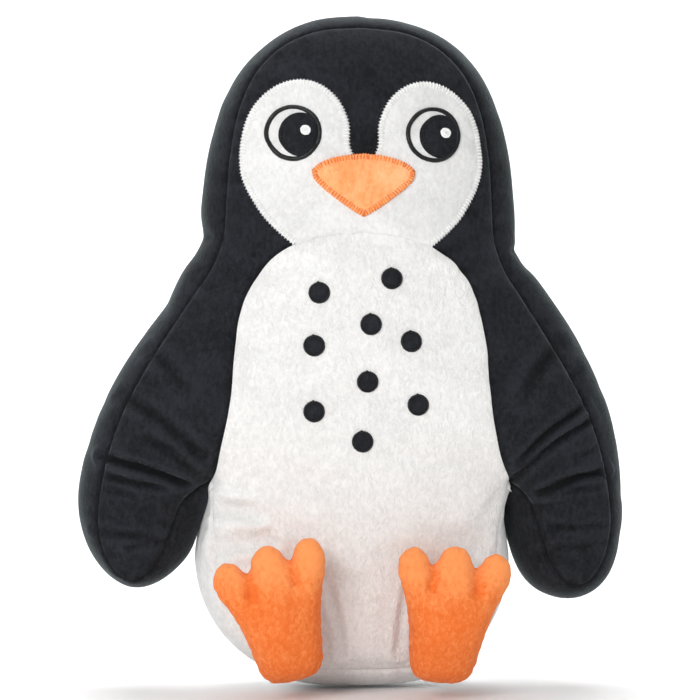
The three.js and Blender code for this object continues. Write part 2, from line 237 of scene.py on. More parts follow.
def mirrored(half):
    """The closed outline, clockwise from the top, of a right half that ends on the axis."""
    left = half[-2:0:-1] * [-1, 1]
    return np.vstack([half, left])


def outward_normals(outline):
    """Outward unit normals of a clockwise closed outline."""
    along = np.roll(outline, -1, axis=0) - np.roll(outline, 1, axis=0)
    normal = np.stack([-along[:, 1], along[:, 0]], 1)
    return normal / np.linalg.norm(normal, axis=1, keepdims=True)


def bell(distance, width):
    """1 at no distance, falling smoothly to almost 0 at twice the width."""
    return np.exp(-((distance / width) ** 2))


def closest(points, place):
    """The index of the point nearest to a place."""
    return int(np.argmin(np.linalg.norm(points - place, axis=1)))


def nearest(points, line, closed=False):
    """Each point's distance to a line through more points."""
    if closed:
        line = np.vstack([line, line[:1]])
    best = np.full(len(points), np.inf)
    for start, step in zip(line, np.diff(line, axis=0)):
        t = np.clip(((points - start) @ step) / max(step @ step, 1e-12), 0, 1)
        gap = points - start - t[:, None] * step
        best = np.minimum(best, np.einsum("ij,ij->i", gap, gap))
    return np.sqrt(best)


def inside(points, outline):
    """Which points are inside a closed outline."""
    x, z = points[:, 0], points[:, 1]
    odd = np.zeros(len(points), bool)
    for (ax, az), (bx, bz) in zip(outline, np.roll(outline, -1, axis=0)):
        crosses = (az > z) != (bz > z)
        if az != bz:
            odd ^= crosses & (x < (bx - ax) * (z - az) / (bz - az) + ax)
    return odd


def edge_distance(points, outline):
    """Signed distance to a closed outline, positive inside."""
    distance = nearest(points, outline, closed=True)
    return np.where(inside(points, outline), distance, -distance)


def moved_in(outline, distance):
    """The outline's points moved inwards, without those that would cross."""
    ring = outline - outward_normals(outline) * distance
    return ring[edge_distance(ring, outline) > 0.98 * distance]


def seam_tree(points):
    """A search tree of points."""
    tree = KDTree(len(points))
    for i, p in enumerate(points):
        tree.insert(p, i)
    tree.balance()
    return tree


def seam_found(points, seam):
    """For each point, the index of the seam's nearest point and the distance to it."""
    tree = seam_tree(seam)
    found = [tree.find(p) for p in points]
    return np.array([f[1] for f in found]), np.array([f[2] for f in found])


def flat_mesh(outline, lines=(), spacing=CLOTH_SPACING, rings=()):
    """Triangles over the inside of an outline, with edges along the open lines.

    Returns the points, the outline's first and in order, and the anticlockwise triangles. `rings`
    are more points near the outline, such as the outline moved inwards. They keep clear of the
    lines, taken end to end as one path.
    """
    (left, bottom), (right, top) = outline.min(0), outline.max(0)
    clear = 0.6 * spacing
    grid = np.array([
        (x + spacing / 2 * (k % 2), z)
        for k, z in enumerate(np.arange(bottom, top, spacing * math.sqrt(3) / 2))
        for x in np.arange(left, right, spacing)
    ])
    grid = grid[inside(grid, outline)]
    grid = grid[nearest(grid, outline, closed=True) > clear]
    for line in lines:
        grid = grid[nearest(grid, line) > clear]
    if lines:
        rings = [ring[nearest(ring, np.vstack(lines)) > 1.0] for ring in rings]
    if rings:
        near = seam_tree([(x, z, 0) for x, z in np.vstack(rings)])
        free = [near.find((x, z, 0))[2] > clear for x, z in grid]
        deepest = edge_distance(rings[-1], outline).max()
        grid = grid[np.array(free) & (edge_distance(grid, outline) > deepest)]
    points = np.vstack([outline, *(line[1:-1] for line in lines), *rings, grid])
    count = len(outline)
    edges = [(i, (i + 1) % count) for i in range(count)]
    for line in lines:
        size = len(line) - 2
        first, last = closest(outline, line[0]), closest(outline, line[-1])
        chain = [first, *range(count, count + size), last]
        edges += zip(chain, chain[1:])
        count += size
    made = delaunay_2d_cdt([Vector(p) for p in points], edges, [], 1, 1e-4)
    source = np.array([ids[0] if ids else -1 for ids in made[3]])
    assert (source >= 0).all(), "the outlines of a panel cross"
    triangles = source[np.array(made[2])]
    used = np.unique(triangles)
    assert used[len(outline) - 1] == len(outline) - 1, "an outline has doubled points"
    return points[used], np.searchsorted(used, triangles)


def band_faces(starts, count):
    """The quads between closed rings of `count` points, whose first points are at `starts`."""
    faces = []
    for a, b in zip(starts, starts[1:]):
        for i in range(count):
            j = (i + 1) % count
            faces.append((a + i, a + j, b + j, b + i))
    return faces


def flipped(quads):
    """The quads turned to face the other way."""
    return [(a, d, c, b) for a, b, c, d in quads]


def joined(parts):
    """Several lots of points and faces as one."""
    points, faces, count = [], [], 0
    for some_points, some_faces in parts:
        points.append(np.asarray(some_points, float))
        faces += [tuple(v + count for v in f) for f in some_faces]
        count += len(some_points)
    return np.vstack(points), faces


# ---------------- stuffing


def edge_weights(points, triangles):
    """A mesh's edges, their cotangent weights, and the area that belongs to each point."""
    area = np.zeros(len(points))
    edges, weights = [], []
    for k in range(3):
        i, j, far = triangles[:, k], triangles[:, (k + 1) % 3], triangles[:, (k + 2) % 3]
        u, v = points[i] - points[far], points[j] - points[far]
        cross = np.abs(u[:, 0] * v[:, 1] - u[:, 1] * v[:, 0])
        edges.append((i, j))
        weights.append(np.maximum((u * v).sum(1) / np.maximum(cross, 1e-9) / 2, 0.01))
        area += np.bincount(far, cross / 6, minlength=len(points))
    return *np.hstack(edges), np.concatenate(weights), area


def stuffing_height(points, triangles, fixed, reach):
    """How far stuffing lifts a sheet held along its fixed points, from 0 there towards 1.

    It solves the screened Poisson equation by conjugate gradients.
    """
    i, j, weight, area = edge_weights(points, triangles)
    free = np.ones(len(points))
    free[fixed] = 0

    def apply(u):
        flow = weight * (u[i] - u[j])
        total = np.bincount(i, flow, len(u)) - np.bincount(j, flow, len(u))
        return free * (total + area * u / reach**2)

    load = free * area / reach**2
    u = np.zeros(len(points))
    rest = load - apply(u)
    step = rest.copy()
    size = rest @ rest
    for _ in range(400):
        image = apply(step)
        scale = size / (step @ image)
        u += scale * step
        rest -= scale * image
        new_size = rest @ rest
        if new_size < 1e-14 * (load @ load):
            break
        step = rest + new_size / size * step
        size = new_size
    return np.clip(u, 0, 1)


# ---------------- the cover as one mesh


def slit_room(outline, normals):
    """How far it is from each outline point, straight outwards, to the outline again."""
    starts, ends = outline, np.roll(outline, -1, axis=0)
    along = ends - starts
    room = np.full(len(outline), np.inf)
    for i, (p, n) in enumerate(zip(outline, normals)):
        cross = n[0] * along[:, 1] - n[1] * along[:, 0]
        cross = np.where(np.abs(cross) < 1e-9, 1e-9, cross)
        gap = starts - p
        t = (gap[:, 0] * along[:, 1] - gap[:, 1] * along[:, 0]) / cross
        s = (gap[:, 0] * n[1] - gap[:, 1] * n[0]) / cross
        hit = (t > 0.5) & (s >= 0) & (s <= 1)
        if hit.any():
            room[i] = t[hit].min()
    return room


def smoothed_round(values, times):
    """Values round a closed loop, averaged with their neighbours."""
    for _ in range(times):
        values = (np.roll(values, 1) + 2 * values + np.roll(values, -1)) / 4
    return values


def tucked(points):
    """Flat points, with those round the left armpit pulled in."""
    away = np.linalg.norm(points - np.array(ARMPIT) * [-1, 1], axis=1)
    return points + bell(away, TUCK_REACH)[:, None] * [LEFT_TUCK, 0]


def on_side(place, side):
    """A place on the right-hand half of the outline, or its match on the left."""
    return tucked(np.array([place]) * [side, 1])[0]


def seam_outline():
    """The front seam as it hangs: one wing a little lower, the other armpit pulled in."""
    half = np.vstack([
        smooth_line(HEAD_AND_WING_SEAM, CLOTH_SPACING)[:-1],
        smooth_line(LOWER_SEAM, CLOTH_SPACING),
    ])
    outline = mirrored(half)
    wing = outline[:, 0] > ARMPIT[0] + 2
    droop = np.clip((DROP_FROM - outline[:, 1]) / DROP_OVER, 0, 1) ** 2
    outline[:, 1] -= np.where(wing, RIGHT_WING_DROP * droop, 0)
    return tucked(outline)


class Cover:
    """The whole cover as one closed mesh, whose faces know which panel they belong to."""

    PANELS = [
        "hood", "belly", "left_wing_front", "right_wing_front", "back", "left_wing_back",
        "right_wing_back", "head_gusset", "lower_gusset", "left_wing_gusset", "right_wing_gusset",
    ]

    def __init__(self):
        self.outline = seam_outline()
        self.normals = outward_normals(self.outline)
        self.belly_edge = self.make_belly_edge()
        split = [self.wing_split(side) for side in SIDES.values()]
        rings = [moved_in(self.outline, distance) for distance in EDGE_RINGS]
        self.front, front_faces = flat_mesh(self.outline, [self.belly_edge, *split], rings=rings)
        self.back, back_faces = flat_mesh(self.outline, split, rings=rings)
        count, inner = len(self.outline), len(self.belly_edge) - 2
        ends = [self.seam_index(ARMPIT, -1), self.seam_index(ARMPIT)]
        self.belly_ids = [ends[0], *range(count, count + inner), ends[1]]
        self.points = self.target_points(front_faces, back_faces)
        self.faces, self.panels = self.collect_faces(front_faces, back_faces)

    def seam_index(self, place, side=1):
        return closest(self.outline, on_side(place, side))

    def seam_distance_along(self, place, flat):
        """How far flat points are from `place`, measured along the seam beside it."""
        i = closest(self.outline, place)
        tangent = [self.normals[i, 1], -self.normals[i, 0]]
        return (flat - self.outline[i]) @ tangent

    def make_belly_edge(self):
        half = smooth_line(BELLY_EDGE, CLOTH_SPACING)
        whole = tucked(np.vstack([half[::-1] * [-1, 1], half[1:]]))
        whole[0] = self.outline[self.seam_index(ARMPIT, -1)]
        whole[-1] = self.outline[self.seam_index(ARMPIT)]
        return whole

    def wing_split(self, side):
        """The line from neck to armpit where a wing's panels start."""
        ends = [self.outline[self.seam_index(place, side)] for place in (NECK, ARMPIT)]
        return resample(np.array(ends), CLOTH_SPACING)

    def bulge(self):
        """How far the gusset stands out at each point of the seam."""
        count = len(self.outline)
        where = [closest(self.outline, b[:2]) for b in BULGE]
        wanted = np.interp(np.arange(count), where, [b[2] for b in BULGE], period=count)
        room = slit_room(self.outline, self.normals)
        on_body = np.arange(count) > self.seam_index(ARMPIT)
        on_body &= np.arange(count) < self.seam_index(ARMPIT, -1)
        below = ARMPIT[1] - self.outline[:, 1]
        body_share = BODY_SHARE * np.clip(below / SHARE_RISE, 0.1, 1)
        share = np.where(on_body, body_share, SLIT_FILLED - body_share)
        return smoothed_round(np.minimum(wanted, share * room), 4)

    def target_points(self, front_faces, back_faces):
        """The stuffed shape: the front's points, the back's, and the gusset's rows between."""
        sheets = []
        for flat, faces, side, crown in ((self.front, front_faces, -1, FRONT_CROWN),
                                         (self.back, back_faces, 1, BACK_CROWN)):
            seam = np.arange(len(self.outline))
            lift = stuffing_height(flat, faces, seam, CROWN_REACH) ** CROWN_POWER
            sheets.append(np.stack([flat[:, 0], side * (SEAM_HALF + crown * lift), flat[:, 1]], 1))
        bulge = self.bulge()
        for row in range(1, GUSSET_ROWS):
            across = math.sin(math.pi * (row / GUSSET_ROWS - 0.5))
            out = bulge * (1 - across**2) ** GUSSET_POWER
            x, z = (self.outline + self.normals * out[:, None]).T
            sheets.append(np.stack([x, np.full(len(x), SEAM_HALF * across),
                                    np.maximum(z, FLOOR_GAP)], 1))
        return np.vstack(sheets)

    def collect_faces(self, front_faces, back_faces):
        """All faces, and the number of each one's panel."""
        count, back = len(self.outline), len(self.front)
        rows = back + len(self.back)
        starts = [0, *range(rows, rows + (GUSSET_ROWS - 1) * count, count), back]
        faces = [tuple(f) for f in front_faces]
        faces += [tuple(f[::-1]) for f in back_faces + back]
        faces += band_faces(starts, count)
        panels = self.front_panels(self.front[front_faces].mean(1))
        panels += self.wing_or(self.back[back_faces].mean(1), "back", "back")
        panels += self.gusset_panels() * GUSSET_ROWS
        return faces, [self.PANELS.index(name) for name in panels]

    def wing_or(self, centres, wing_panel, body_panel):
        """The panel of each point: a wing's, or the one on the body."""
        (ax, az), bz = NECK, ARMPIT[1]
        bx = np.where(centres[:, 0] > 0, ARMPIT[0], -on_side(ARMPIT, -1)[0])
        x, z = np.abs(centres[:, 0]), centres[:, 1]
        split = np.clip(ax + (bx - ax) * (z - az) / (bz - az), ax, bx)
        on_wing = (x > split) & (z < az + 20)
        sides = np.where(centres[:, 0] > 0, "right", "left")
        return [f"{side}_wing_{wing_panel}" if wing else body_panel
                for side, wing in zip(sides, on_wing)]

    def front_panels(self, centres):
        edge = self.belly_edge
        below = [[edge[-1, 0], -10], [edge[0, 0], -10]]
        on_belly = inside(centres, np.vstack([edge, below]))
        panels = self.wing_or(centres, "front", "hood")
        return ["belly" if belly else name for belly, name in zip(on_belly, panels)]

    def gusset_panels(self):
        """The gusset's panel beside each point of the seam, clockwise from the top."""
        ends = [self.seam_index(NECK), self.seam_index(ARMPIT),
                self.seam_index(ARMPIT, -1), self.seam_index(NECK, -1)]
        names = ["head_gusset", "right_wing_gusset", "lower_gusset", "left_wing_gusset",
                 "head_gusset"]
        stretch = np.searchsorted(ends, np.arange(len(self.outline)), side="right")
        return [names[k] for k in stretch]


# ---------------- Blender objects


def new_object(name, points, faces, slots=(), materials=None):
    """A Blender mesh object, in metres in the CAD frame, from points in millimetres."""
    mesh = bpy.data.meshes.new(name)
    placed = (np.asarray(points, float) + HOME) * MM
    mesh.from_pydata(placed.tolist(), [], [tuple(int(v) for v in f) for f in faces])
    for material in slots:
        mesh.materials.append(material)
    if materials is not None:
        mesh.polygons.foreach_set("material_index", materials)
    mesh.polygons.foreach_set("use_smooth", [True] * len(mesh.polygons))
    mesh.update()
    obj = bpy.data.objects.new(name, mesh)
    bpy.context.scene.collection.objects.link(obj)
    return obj


def mesh_points(mesh):
    """A mesh's points in millimetres in the cushion's frame."""
    flat = np.empty(3 * len(mesh.vertices))
    mesh.vertices.foreach_get("co", flat)
    return flat.reshape(-1, 3) / MM - HOME


def box_of(node):
    """A CAD node's low and high corners, in millimetres in the cushion's frame."""
    return [np.array(corner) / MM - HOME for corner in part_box(node)]


def set_mesh_points(mesh, points):
    """Moves a mesh's points to places in millimetres in the cushion's frame."""
    mesh.vertices.foreach_set("co", ((points + HOME) * MM).ravel())
    mesh.update()


def apply_modifiers(obj):
    """The object's mesh becomes the one that its modifiers make."""
    depsgraph = bpy.context.evaluated_depsgraph_get()
    made = bpy.data.meshes.new_from_object(obj.evaluated_get(depsgraph), depsgraph=depsgraph)
    obj.modifiers.clear()
    obj.data = made


def subdivide(obj, levels, sharp_edges=()):
    """Catmull-Clark subdivision that keeps the given edges' line."""
    if len(sharp_edges):
        keys = {tuple(sorted(edge)) for edge in sharp_edges}
        crease = obj.data.attributes.new("crease_edge", "FLOAT", "EDGE")
        for edge in obj.data.edges:
            if tuple(sorted(edge.vertices)) in keys:
                crease.data[edge.index].value = 1.0
    modifier = obj.modifiers.new("Subdivision", "SUBSURF")
    modifier.levels = modifier.render_levels = levels
    apply_modifiers(obj)


def vertex_normals(mesh):
    flat = np.empty(3 * len(mesh.vertices))
    mesh.vertex_normals.foreach_get("vector", flat)
    return flat.reshape(-1, 3)


def sheet_normals(mesh, sheet_of_face, sheet):
    """Vertex normals of one sheet of cloth; at its sewn edge it keeps the slope beside the seam."""
    normals = np.zeros((len(mesh.vertices), 3))
    sewn = np.zeros(len(mesh.vertices), bool)
    for polygon in mesh.polygons:
        corners = list(polygon.vertices)
        if sheet_of_face[polygon.index] == sheet:
            normals[corners] += np.array(polygon.normal) * polygon.area
        else:
            sewn[corners] = True
    edges = np.array([edge.vertices[:] for edge in mesh.edges])
    edges = np.vstack([edges, edges[:, ::-1]])
    edges = edges[sewn[edges[:, 0]] & ~sewn[edges[:, 1]]]
    beside = np.zeros_like(normals)
    np.add.at(beside, edges[:, 0], normals[edges[:, 1]])
    found = np.linalg.norm(beside, axis=1) > 0
    normals = np.where((sewn & found)[:, None], beside, normals)
    length = np.linalg.norm(normals, axis=1, keepdims=True)
    return normals / np.maximum(length, 1e-12)


def split_piece(name, whole, normals, painted_shading, wanted, material):
    """A new object of the wanted faces of a mesh, shaded by the normals given."""
    faces = [whole.polygons[i].vertices[:] for i in wanted]
    used = np.unique(np.concatenate([np.array(f) for f in faces]))
    renumber = {int(old): new for new, old in enumerate(used)}
    points = mesh_points(whole)[used]
    obj = new_object(name, points, [[renumber[v] for v in f] for f in faces], [material])
    obj.data.normals_split_custom_set_from_vertices(normals[used].tolist())
    add_painted_shading(obj, painted_shading[used])
    return obj


def add_painted_shading(obj, painted_light):
    """Stores painted shading at each point, from -1 for painted shade to 1 for painted highlight."""
    attribute = obj.data.attributes.new("painted_shading", "FLOAT", "POINT")
    attribute.data.foreach_set("value", painted_light)


class Surface:
    """A finished skin that smaller pieces are laid on."""

    FAR = 400.0

    def __init__(self, mesh):
        mesh.calc_loop_triangles()
        self.points = mesh_points(mesh)
        self.normals = vertex_normals(mesh)
        self.triangles = [t.vertices[:] for t in mesh.loop_triangles]
        self.tree = BVHTree.FromPolygons(self.points.tolist(), self.triangles)

    def at(self, x, z, side=-1):
        """The point and normal over [x, z], on the front (-1) or on the back (1)."""
        start = Vector((x, side * self.FAR, z))
        place, _, index, _ = self.tree.ray_cast(start, Vector((0, -side, 0)))
        corners = list(self.triangles[index])
        a, b, c = (Vector(p) for p in self.points[corners])
        na, nb, nc = (Vector(n) for n in self.normals[corners])
        normal = barycentric_transform(place, a, b, c, na, nb, nc).normalized()
        return np.array(place), np.array(normal)

    def lay(self, flat, lift, side=-1):
        """Flat points carried onto the skin and lifted off it."""
        lift = np.broadcast_to(lift, len(flat))
        found = [self.at(x, z, side) for x, z in flat]
        return np.array([place + normal * up for (place, normal), up in zip(found, lift)])


# ---------------- materials


class Nodes:
    """A short way to write a material's node tree."""

    def __init__(self, name):
        self.material = bpy.data.materials.new(name)
        self.material.use_nodes = True
        self.tree = self.material.node_tree
        self.shader = self.tree.nodes["Principled BSDF"]
        self.where = self.add("ShaderNodeTexCoord").outputs["Object"]

    def add(self, kind, inputs=None, **settings):
        node = self.tree.nodes.new(kind)
        for key, value in settings.items():
            setattr(node, key, value)
        for key, value in (inputs or {}).items():
            self.feed(node.inputs[key], value)
        return node

    def feed(self, socket, value):
        if isinstance(value, bpy.types.NodeSocket):
            self.tree.links.new(value, socket)
        else:
            socket.default_value = value

    def stretched(self, scale):
        return self.add("ShaderNodeMapping", {"Vector": self.where, "Scale": scale}).outputs[0]

    def noise(self, scale, detail=3.0, roughness=0.55, stretch=None, distortion=0.0):
        where = self.stretched(stretch) if stretch else self.where
        inputs = {"Vector": where, "Scale": scale, "Detail": detail, "Roughness": roughness,
                  "Distortion": distortion}
        return self.add("ShaderNodeTexNoise", inputs).outputs["Fac"]

    def ramp(self, value, low, high, to_low=0.0, to_high=1.0):
        inputs = {"Value": value, "From Min": low, "From Max": high, "To Min": to_low,
                  "To Max": to_high}
        return self.add("ShaderNodeMapRange", inputs, interpolation_type="SMOOTHSTEP").outputs[0]

    def maths(self, operation, a, b):
        return self.add("ShaderNodeMath", {0: a, 1: b}, operation=operation).outputs[0]

    def mix(self, share, a, b):
        node = self.add("ShaderNodeMix", data_type="RGBA")
        self.feed(node.inputs[0], share)
        self.feed(node.inputs[6], a)
        self.feed(node.inputs[7], b)
        return node.outputs[2]

    def bump(self, height, strength, distance, under=None):
        inputs = {"Height": height, "Strength": strength, "Distance": distance}
        if under is not None:
            inputs["Normal"] = under
        return self.add("ShaderNodeBump", inputs).outputs[0]

    def finish(self, color, roughness, normal, **constants):
        self.feed(self.shader.inputs["Base Color"], color)
        self.feed(self.shader.inputs["Roughness"], roughness)
        self.feed(self.shader.inputs["Normal"], normal)
        for key, value in constants.items():
            self.shader.inputs[key.replace("_", " ")].default_value = value
        return self.material


def velour(name, dark, light, sheen, sheen_tint, clumps=0.0, sheen_roughness=0.4, painted_light=0.3,
           blotch=0.5, highlight_heights=None):
    """Short pile: fine fibres, soft patches of random tone and, where asked, small clumps of pile.

    `painted_light` is how strongly the painted shade in folds and seam grooves and the painted
    highlight on ridges show, and `highlight_heights` gives the heights in metres over which the
    colour is painted lighter towards the top, a painted highlight where the cloth faces the light.
    """
    n = Nodes(name)
    fibre = n.noise(2200.0, 2.0, 0.6, stretch=(1.0, 1.0, 0.35))
    tuft = n.noise(420.0, 3.0, 0.6, stretch=(1.0, 1.0, 0.7), distortion=0.6)
    patch = n.noise(38.0, 3.0, 0.5, distortion=0.8)
    painted_shading = n.add("ShaderNodeAttribute", attribute_name="painted_shading").outputs["Fac"]
    tone = n.maths("ADD", n.maths("MULTIPLY", tuft, 1 - blotch),
                   n.maths("MULTIPLY", patch, blotch))
    # Painted shade in folds and seam grooves, painted highlight on ridges and puckers.
    tone = n.maths("ADD", tone, n.maths("MULTIPLY", painted_shading, painted_light))
    if highlight_heights:
        # Painted highlight: the colour turns lighter towards the top, where the cloth faces the
        # light.
        height = n.add("ShaderNodeSeparateXYZ", {0: n.where}).outputs["Z"]
        edge = n.maths("ADD", height, n.maths("MULTIPLY", n.noise(60.0, 3.0), 0.02))
        tone = n.maths("ADD", tone, n.ramp(edge, highlight_heights[0] + 0.01, highlight_heights[1] + 0.01, -0.1, 0.2))
    if clumps:
        curl = n.noise(330.0, 2.0, 0.5, stretch=(1.0, 1.0, 0.6), distortion=1.6)
        tone = n.maths("ADD", tone, n.ramp(curl, 0.25, 0.75, -clumps * 0.15, clumps * 0.15))
    color = n.mix(n.ramp(tone, 0.25, 0.75), dark, light)
    height = n.maths("ADD", n.maths("MULTIPLY", fibre, 0.35), n.maths("MULTIPLY", tuft, 0.65))
    normal = n.bump(height, 0.7, 0.0007)
    if clumps:
        normal = n.bump(curl, clumps, 0.0014, under=normal)
    return n.finish(color, n.ramp(patch, 0.3, 0.7, 0.86, 0.97), normal, Sheen_Weight=sheen,
                    Sheen_Roughness=sheen_roughness, Sheen_Tint=sheen_tint,
                    Specular_IOR_Level=0.2)


def thread(name, dark, light, roughness=0.42, shine=0.5):
    """Embroidery thread: satin, with fine strands."""
    n = Nodes(name)
    strand = n.noise(2600.0, 2.0, 0.5, stretch=(1.0, 0.4, 0.4))
    tone = n.noise(300.0, 2.0, 0.5)
    return n.finish(n.mix(n.ramp(tone, 0.35, 0.65), dark, light),
                    n.ramp(strand, 0.3, 0.7, roughness - 0.08, roughness + 0.12),
                    n.bump(strand, 0.4, 0.0002), Sheen_Weight=0.1, Specular_IOR_Level=shine)


def make_materials():
    # `painted_light` sets how strongly each velour shows painted shade in folds and seams and
    # painted highlight on ridges.
    return {
        "black_plush": velour("black_velour", (0.003, 0.0033, 0.0045, 1),
                              (0.021, 0.023, 0.029, 1), 0.39, (0.48, 0.58, 0.60, 1),
                              sheen_roughness=0.33, painted_light=0.5, blotch=0.4),
        "white_plush": velour("white_velour", (0.66, 0.655, 0.645, 1), (0.82, 0.82, 0.815, 1),
                              0.15, (1, 1, 1, 1), painted_light=0.15, blotch=0.3),
        "belly_plush": velour("belly_velour", (0.71, 0.702, 0.69, 1), (0.855, 0.852, 0.84, 1),
                              0.15, (1, 1, 1, 1), clumps=0.6, painted_light=0.15, blotch=0.35),
        # The feet's velour is painted lighter towards the tops of the toes, a painted highlight.
        "orange_plush": velour("orange_velour", (0.78, 0.155, 0.025, 1), (0.93, 0.305, 0.095, 1),
                               0.2, (1, 0.72, 0.5, 1), clumps=0.25, painted_light=0.45, blotch=0.3,
                               highlight_heights=(0.05, 0.082)),
        "beak_plush": velour("beak_velour", (0.90, 0.30, 0.09, 1), (1.0, 0.52, 0.25, 1),
                             0.2, (1, 0.8, 0.6, 1)),
        "pupil_cloth": velour("pupil_velour", (0.004, 0.0045, 0.006, 1), (0.024, 0.025, 0.031, 1),
                              0.15, (0.6, 0.65, 0.7, 1)),
        "black_thread": thread("black_thread", (0.003, 0.0035, 0.004, 1), (0.009, 0.01, 0.011, 1),
                               0.34, 0.25),
        "white_thread": thread("white_thread", (0.84, 0.84, 0.83, 1), (0.93, 0.93, 0.92, 1)),
        "orange_thread": thread("orange_thread", (0.74, 0.14, 0.012, 1), (0.90, 0.25, 0.03, 1)),
        "satin_label": thread("satin_ribbon", (0.80, 0.80, 0.79, 1), (0.88, 0.88, 0.87, 1)),
    }


MATERIALS = make_materials()


def dress(obj, body, replaced=()):
    """Attaches a finished piece to the body it rides on, if one is given, and hides the CAD nodes it
    stands for.
    """
    if body:
        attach(obj, body)
    if replaced:
        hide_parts(*replaced)


def add_piece(name, points, faces, material, replaced=(), body="torso"):
    """A piece of one material that is finished as it is."""
    obj = new_object(name, points, faces, [MATERIALS[material]])
    dress(obj, body, replaced)


# ---------------- folds and creases


def fold(start, end, bow, depth, width):
    """A crease from start to end, bowed sideways in its middle."""
    start, end = np.array(start, float), np.array(end, float)
    across = np.array([start[1] - end[1], end[0] - start[0]])
    across /= np.linalg.norm(across)
    middle = (start + end) / 2 + bow * across
    return {"line": smooth_line([start, middle, end], 4), "depth": depth, "width": width}


FRONT_FOLDS = [
    # the left wing
    fold([-148, 137], [-100, 121.5], 1.5, 3.4, 2.2),
    fold([-147, 127], [-112, 120], -1.0, 1.5, 2.0),
    fold([-137, 172], [-92, 139], 2.5, 1.5, 3.2),
    fold([-122, 148], [-96, 129], 1.5, 1.0, 2.6),
    fold([-146, 118], [-128, 115], 0.5, 0.8, 2.0),
    fold([-152, 95], [-118, 91], -1.0, 1.2, 2.2),
    fold([-133, 85], [-111, 88], 0.5, 1.1, 2.0),
    fold([-121, 198], [-101, 176], 1.0, 0.9, 3.6),
    # the right wing
    fold([134, 168], [93, 135], -3.0, 2.4, 2.2),
    fold([138, 160], [92, 127], -3.0, 2.0, 2.2),
    fold([146, 130], [107, 117], -2.0, 3.2, 2.3),
    fold([141, 121], [113, 116], -1.5, 1.4, 2.0),
    fold([141, 143], [128, 138], -0.5, 1.0, 2.2),
    fold([146, 99], [114, 97], 1.0, 1.0, 2.0),
    fold([146, 87], [119, 85], 0.5, 0.8, 2.0),
    fold([119, 204], [95, 173], -2.0, 1.3, 4.2),
    fold([131, 190], [124, 176], 0.5, 0.8, 2.6),
    # the belly
    fold([23, 250], [64, 263], -2.0, 0.8, 4.5),
    fold([29, 238], [68, 251], -2.0, 0.9, 4.5),
    fold([34, 229], [69, 237], -2.0, 0.6, 4.5),
    fold([-81, 108], [-60, 106], 0.5, 3.0, 4.2),
    fold([-80, 86], [-52, 90], 1.0, 3.0, 4.4),
    fold([-18, 62], [-9, 23], 2.0, 1.9, 2.4),
    fold([-25, 75], [-12, 62], -2.0, 0.9, 3.0),
    fold([29, 68], [24, 24], -1.5, 1.5, 2.6),
    fold([-8, 68], [12, 66], 1.0, 0.7, 3.4),
]

# Pinches across the gusset at the neck: [x, z, depth, width].
GUSSET_FOLDS = [
    [-81, 262, 2.4, 2.6], [-85, 250, 1.0, 4.0], [84, 255, 2.8, 2.4], [88, 243, 0.8, 4.0],
]


def fold_height(flat_points, folds):
    """How far folds lift a front panel off its smooth shape; a crease has a low ridge each side."""
    height = np.zeros(len(flat_points))
    for each in folds:
        line, width = each["line"], each["width"]
        distance = nearest(flat_points, line)
        ends = [np.linalg.norm(flat_points - end, axis=1) for end in (line[0], line[-1])]
        taper = np.clip(np.minimum(*ends) / (2.2 * width), 0, 1) ** 0.5
        taper = np.where(distance < 1.5 * width, taper, 1)
        u = distance / width
        shape = 0.6 * bell(u - 1.9, math.sqrt(0.7)) - bell(u, 1)
        height += each["depth"] * shape * np.where(u < 4, taper, 0)
    return height


def wave(along, length, seed):
    """A gentle irregular wave along a seam, between -1 and 1."""
    rng = np.random.default_rng(seed)
    total = np.zeros(len(along))
    for k in range(4):
        turns = 1 / (length * (0.7 + 0.27 * k))
        total += np.sin(2 * np.pi * (along * turns + rng.random()))
    return total / 4


# ---------------- the cover


def cover_whole():
    """The finished cover as one object, with its panels as material slots."""
    cover = Cover()
    obj = new_object("cover", cover.points, cover.faces, [None] * len(cover.PANELS),
                     cover.panels)
    count = len(cover.outline)
    back = len(cover.front)
    rings = [(i, (i + 1) % count) for i in range(count)]
    seams = rings + [(a + back, b + back) for a, b in rings]
    stuff(obj, [*range(count), *range(back, back + count)])
    subdivide(obj, 1, seams + list(zip(cover.belly_ids, cover.belly_ids[1:])))
    painted_shading = shape_cover(obj, cover)
    return obj, cover, painted_shading


def add_cloth(obj, held):
    """Cloth that pressure fills, held by a vertex group."""
    cloth = obj.modifiers.new("Cloth", "CLOTH")
    settings = cloth.settings
    settings.quality = 6
    settings.mass = 0.3
    settings.tension_stiffness = settings.compression_stiffness = 12
    settings.shear_stiffness = 4
    settings.bending_stiffness = 0.25
    settings.use_pressure = True
    settings.uniform_pressure_force = STUFFING_PRESSURE
    settings.vertex_group_mass = held.name
    settings.pin_stiffness = 1
    settings.shrink_min = settings.shrink_max = -CLOTH_EASE
    settings.effector_weights.gravity = 0
    cloth.point_cache.frame_start, cloth.point_cache.frame_end = 1, STUFFING_FRAMES


